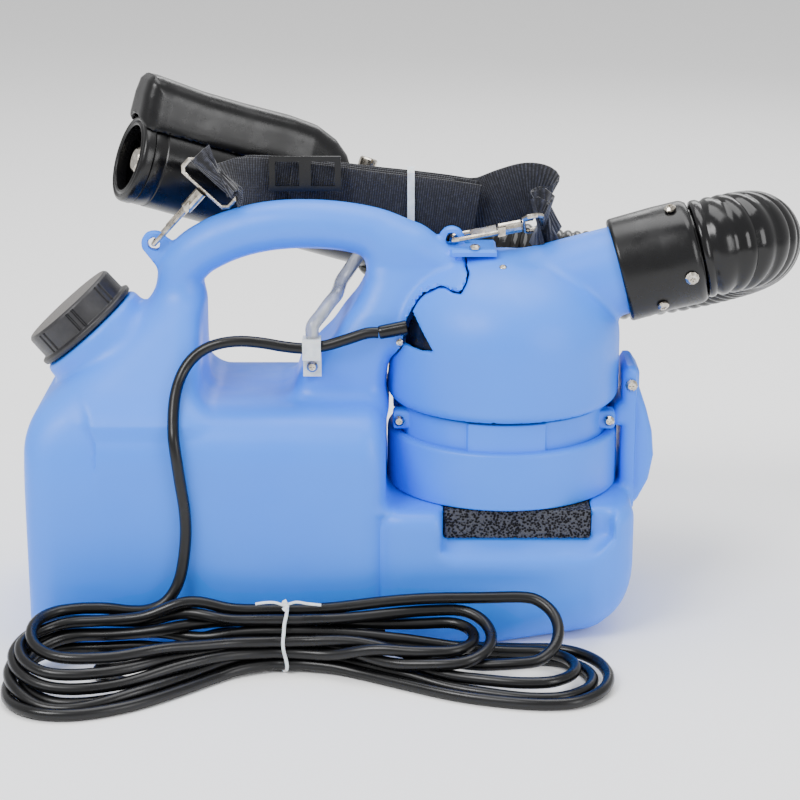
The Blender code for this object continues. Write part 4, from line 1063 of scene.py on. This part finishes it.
def ribbon(name, path, ups, width=STRAP_WIDTH, thick=1.7, replaces=()):
    """A flat ribbon along a path, its width along the given direction at each point."""
    ways = np.gradient(path, axis=0)
    ways /= np.linalg.norm(ways, axis=1)[:, None]
    ups = ups - ways * (ups * ways).sum(1)[:, None]
    ups /= np.linalg.norm(ups, axis=1)[:, None]
    faces_out = np.cross(ways, ups)
    section = [(-1, -0.25), (-0.97, -0.5), (-0.5, -0.5), (0, -0.5), (0.5, -0.5), (0.97, -0.5), (1, -0.25),
               (1, 0.25), (0.97, 0.5), (0.5, 0.5), (0, 0.5), (-0.5, 0.5), (-0.97, 0.5), (-1, 0.25)]
    reach = np.concatenate([[0], np.cumsum(np.linalg.norm(np.diff(path, axis=0), axis=1))])
    points, weave = [], []
    for spot, up, out, far in zip(path, ups, faces_out, reach):
        for across, depth in section:
            points.append(spot + up * across * width / 2 + out * depth * thick)
            weave.append((far * MM, across * width / 2 * MM, 0))
    shape = points, ring_faces(len(path), len(section))
    piece = add_piece(name, shape, "black_webbing", replaces=replaces, sharp=60)
    layer = piece.data.attributes.new("weave", "FLOAT_VECTOR", "POINT")
    layer.data.foreach_set("vector", np.array(weave).ravel())
    return piece


def blend_ups(path, stations):
    """Width directions along a path, from stations of (share of its length, direction)."""
    share = np.linspace(0, 1, len(path))
    marks = [s for s, _ in stations]
    return np.stack([np.interp(share, marks, [d[a] for _, d in stations]) for a in range(3)], axis=1)


def add_strap():
    core = smooth_path([p[:3] for p in STRAP_PATH], 3.0)
    thick = np.interp(core[:, 0], [p[0] for p in STRAP_PATH], [p[3] for p in STRAP_PATH])
    ways = np.gradient(core, axis=0)
    ways /= np.linalg.norm(ways, axis=1)[:, None]
    out = np.cross(ways, (0, 0, 1.0))
    layers = [-0.9, -0.52, -0.16, 0.2, 0.56, 0.92]
    rng = np.random.default_rng(7)
    for number, offset in enumerate(layers):
        first = 4 + 5 * (number % 3)
        last = len(core) - (number * 5) % 11 - 1
        part = core[first:last]
        wave = 0.5 * np.sin(part[:, 0] / 17 + number)
        path = part + out[first:last] * (offset * (thick[first:last] - 1.0) + wave)[:, None]
        lean = np.array([0.02 * rng.normal(), 0.05 * rng.normal(), 1.0])
        path[:, 2] += 1.2 * rng.normal()
        replaces = ["strap_bundle"] if number == 0 else ()
        ribbon(f"strap_layer_{number}", path, np.tile(lean, (len(path), 1)), replaces=replaces)
    bar = LEFT_LUG + LEFT_PULL * 61
    turn = ((4, 3.4), (0.5, 3.6), (-2.6, 1.6), (-2.6, -1.6), (0.5, -3.6), (4, -3.4))
    wrap = [bar + LEFT_PULL * a + Vector((0, y, 0)) for a, y in turn]
    for number, (run, sign) in enumerate(((wrap[:3][::-1], 1), (wrap[3:], -1))):
        joined = [tuple(p) for p in run] + [(-64, 14 + 2.5 * sign, 291.5), (-50, 24 + 2.2 * sign, 289.5),
                                            (-36, 30 + 3.0 * sign, 287.6)]
        path = smooth_path(joined, 2.5)
        ups = blend_ups(path, [(0, LEFT_DEE), (0.3, LEFT_DEE), (1, (0.0, 0.0, 1.0))])
        ribbon(f"strap_eye_{number}", path, ups, width=37)
    bar = RIGHT_LUG + RIGHT_PULL * 61
    route = [(88, 38, 271), (104, 38, 272), (120, 37, 278), (134, 36, 282), (144, 33, 281),
             (148.5, 28, 276), (146, 22, 271), (142, 15, 269.5), tuple(bar + Vector((4, 6, 1.5))),
             tuple(bar + Vector((-2.2, 1, -1))), tuple(bar + Vector((-2.5, -3, -2)))]
    path = smooth_path(route, 2.2)
    ups = blend_ups(path, [(0, (0, 0, 1.0)), (0.2, (-0.12, 0, 1)), (0.5, (-0.25, 0.05, 1)),
                           (0.66, (-0.1, 0.2, 1)), (0.85, (-0.08, -0.6, 0.7)), (1, RIGHT_DEE)])
    ribbon("strap_fold", path, ups, width=40, replaces=["strap_loop"])


def add_small_screws():
    """Two small screws that only the surface shows: on the dome's top and beside the cord's gland."""
    outline = rounded([(0, -1.0, 0), (2.5, -1.0, 0.2), (2.6, 0.5, 0.4), (1.2, 1.2, 0.3), (1.0, 0.6, 0.1),
                       (0, 0.6, 0)], 0.3)
    for name, spot, way in (("dome_pin", (115.0, -30.0, 244.9), (0, -0.36, 0.93)),
                            ("gland_screw", (47.5, -39.4, 196.5), (0, -1.0, 0.02))):
        shape = lathe(outline, spot, Vector(way).normalized(), 24)
        add_piece(name, shape, "nickel")


def add_foam():
    low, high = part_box("filter_foam")
    low, high = np.array(low) / MM, np.array(high) / MM

    def field(p):
        centre, half = (low + high) / 2, (high - low) / 2
        q = np.abs(p - centre) - half + 1.1
        outside = np.linalg.norm(np.maximum(q, 0), axis=1) + np.minimum(q.max(1), 0)
        x, y, z = p.T
        rough = np.sin(2.1 * x) * np.sin(2.3 * z + 0.7 * x)
        rough = rough + 0.6 * np.sin(3.7 * x + 1.3 * y) * np.sin(3.1 * z)
        return outside - 0.8 + 0.28 * rough

    shape = net_surface(field, low - 2, high + 2, 1.5)
    piece = add_piece("foam_filter", shape, "black_foam", replaces=["filter_foam"], sharp=180)


# ================================================================ assembly

def finish_cad_nodes():
    """Gives every CAD node that stays its detailed material."""
    slots = {entry["node"]: entry["material_slot"] for entry in frame["record"]["subparts"]}
    for name, node in frame["nodes"].items():
        node.data.materials.clear()
        node.data.materials.append(MATERIALS[slots[name]])


add_camera()
add_studio()
MATERIALS = make_materials()
finish_cad_nodes()
add_cord()
add_liquid_tube()
add_hose()
add_blue_shells()
add_cap()
add_cuff_and_connector()
add_nozzle()
add_grip()
add_strap()
add_small_screws()
add_foam()

boxes = {"cad": CAD_BOX, "visual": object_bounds()}
{k: [list(map(float, corner)) for corner in v] for k, v in boxes.items()}
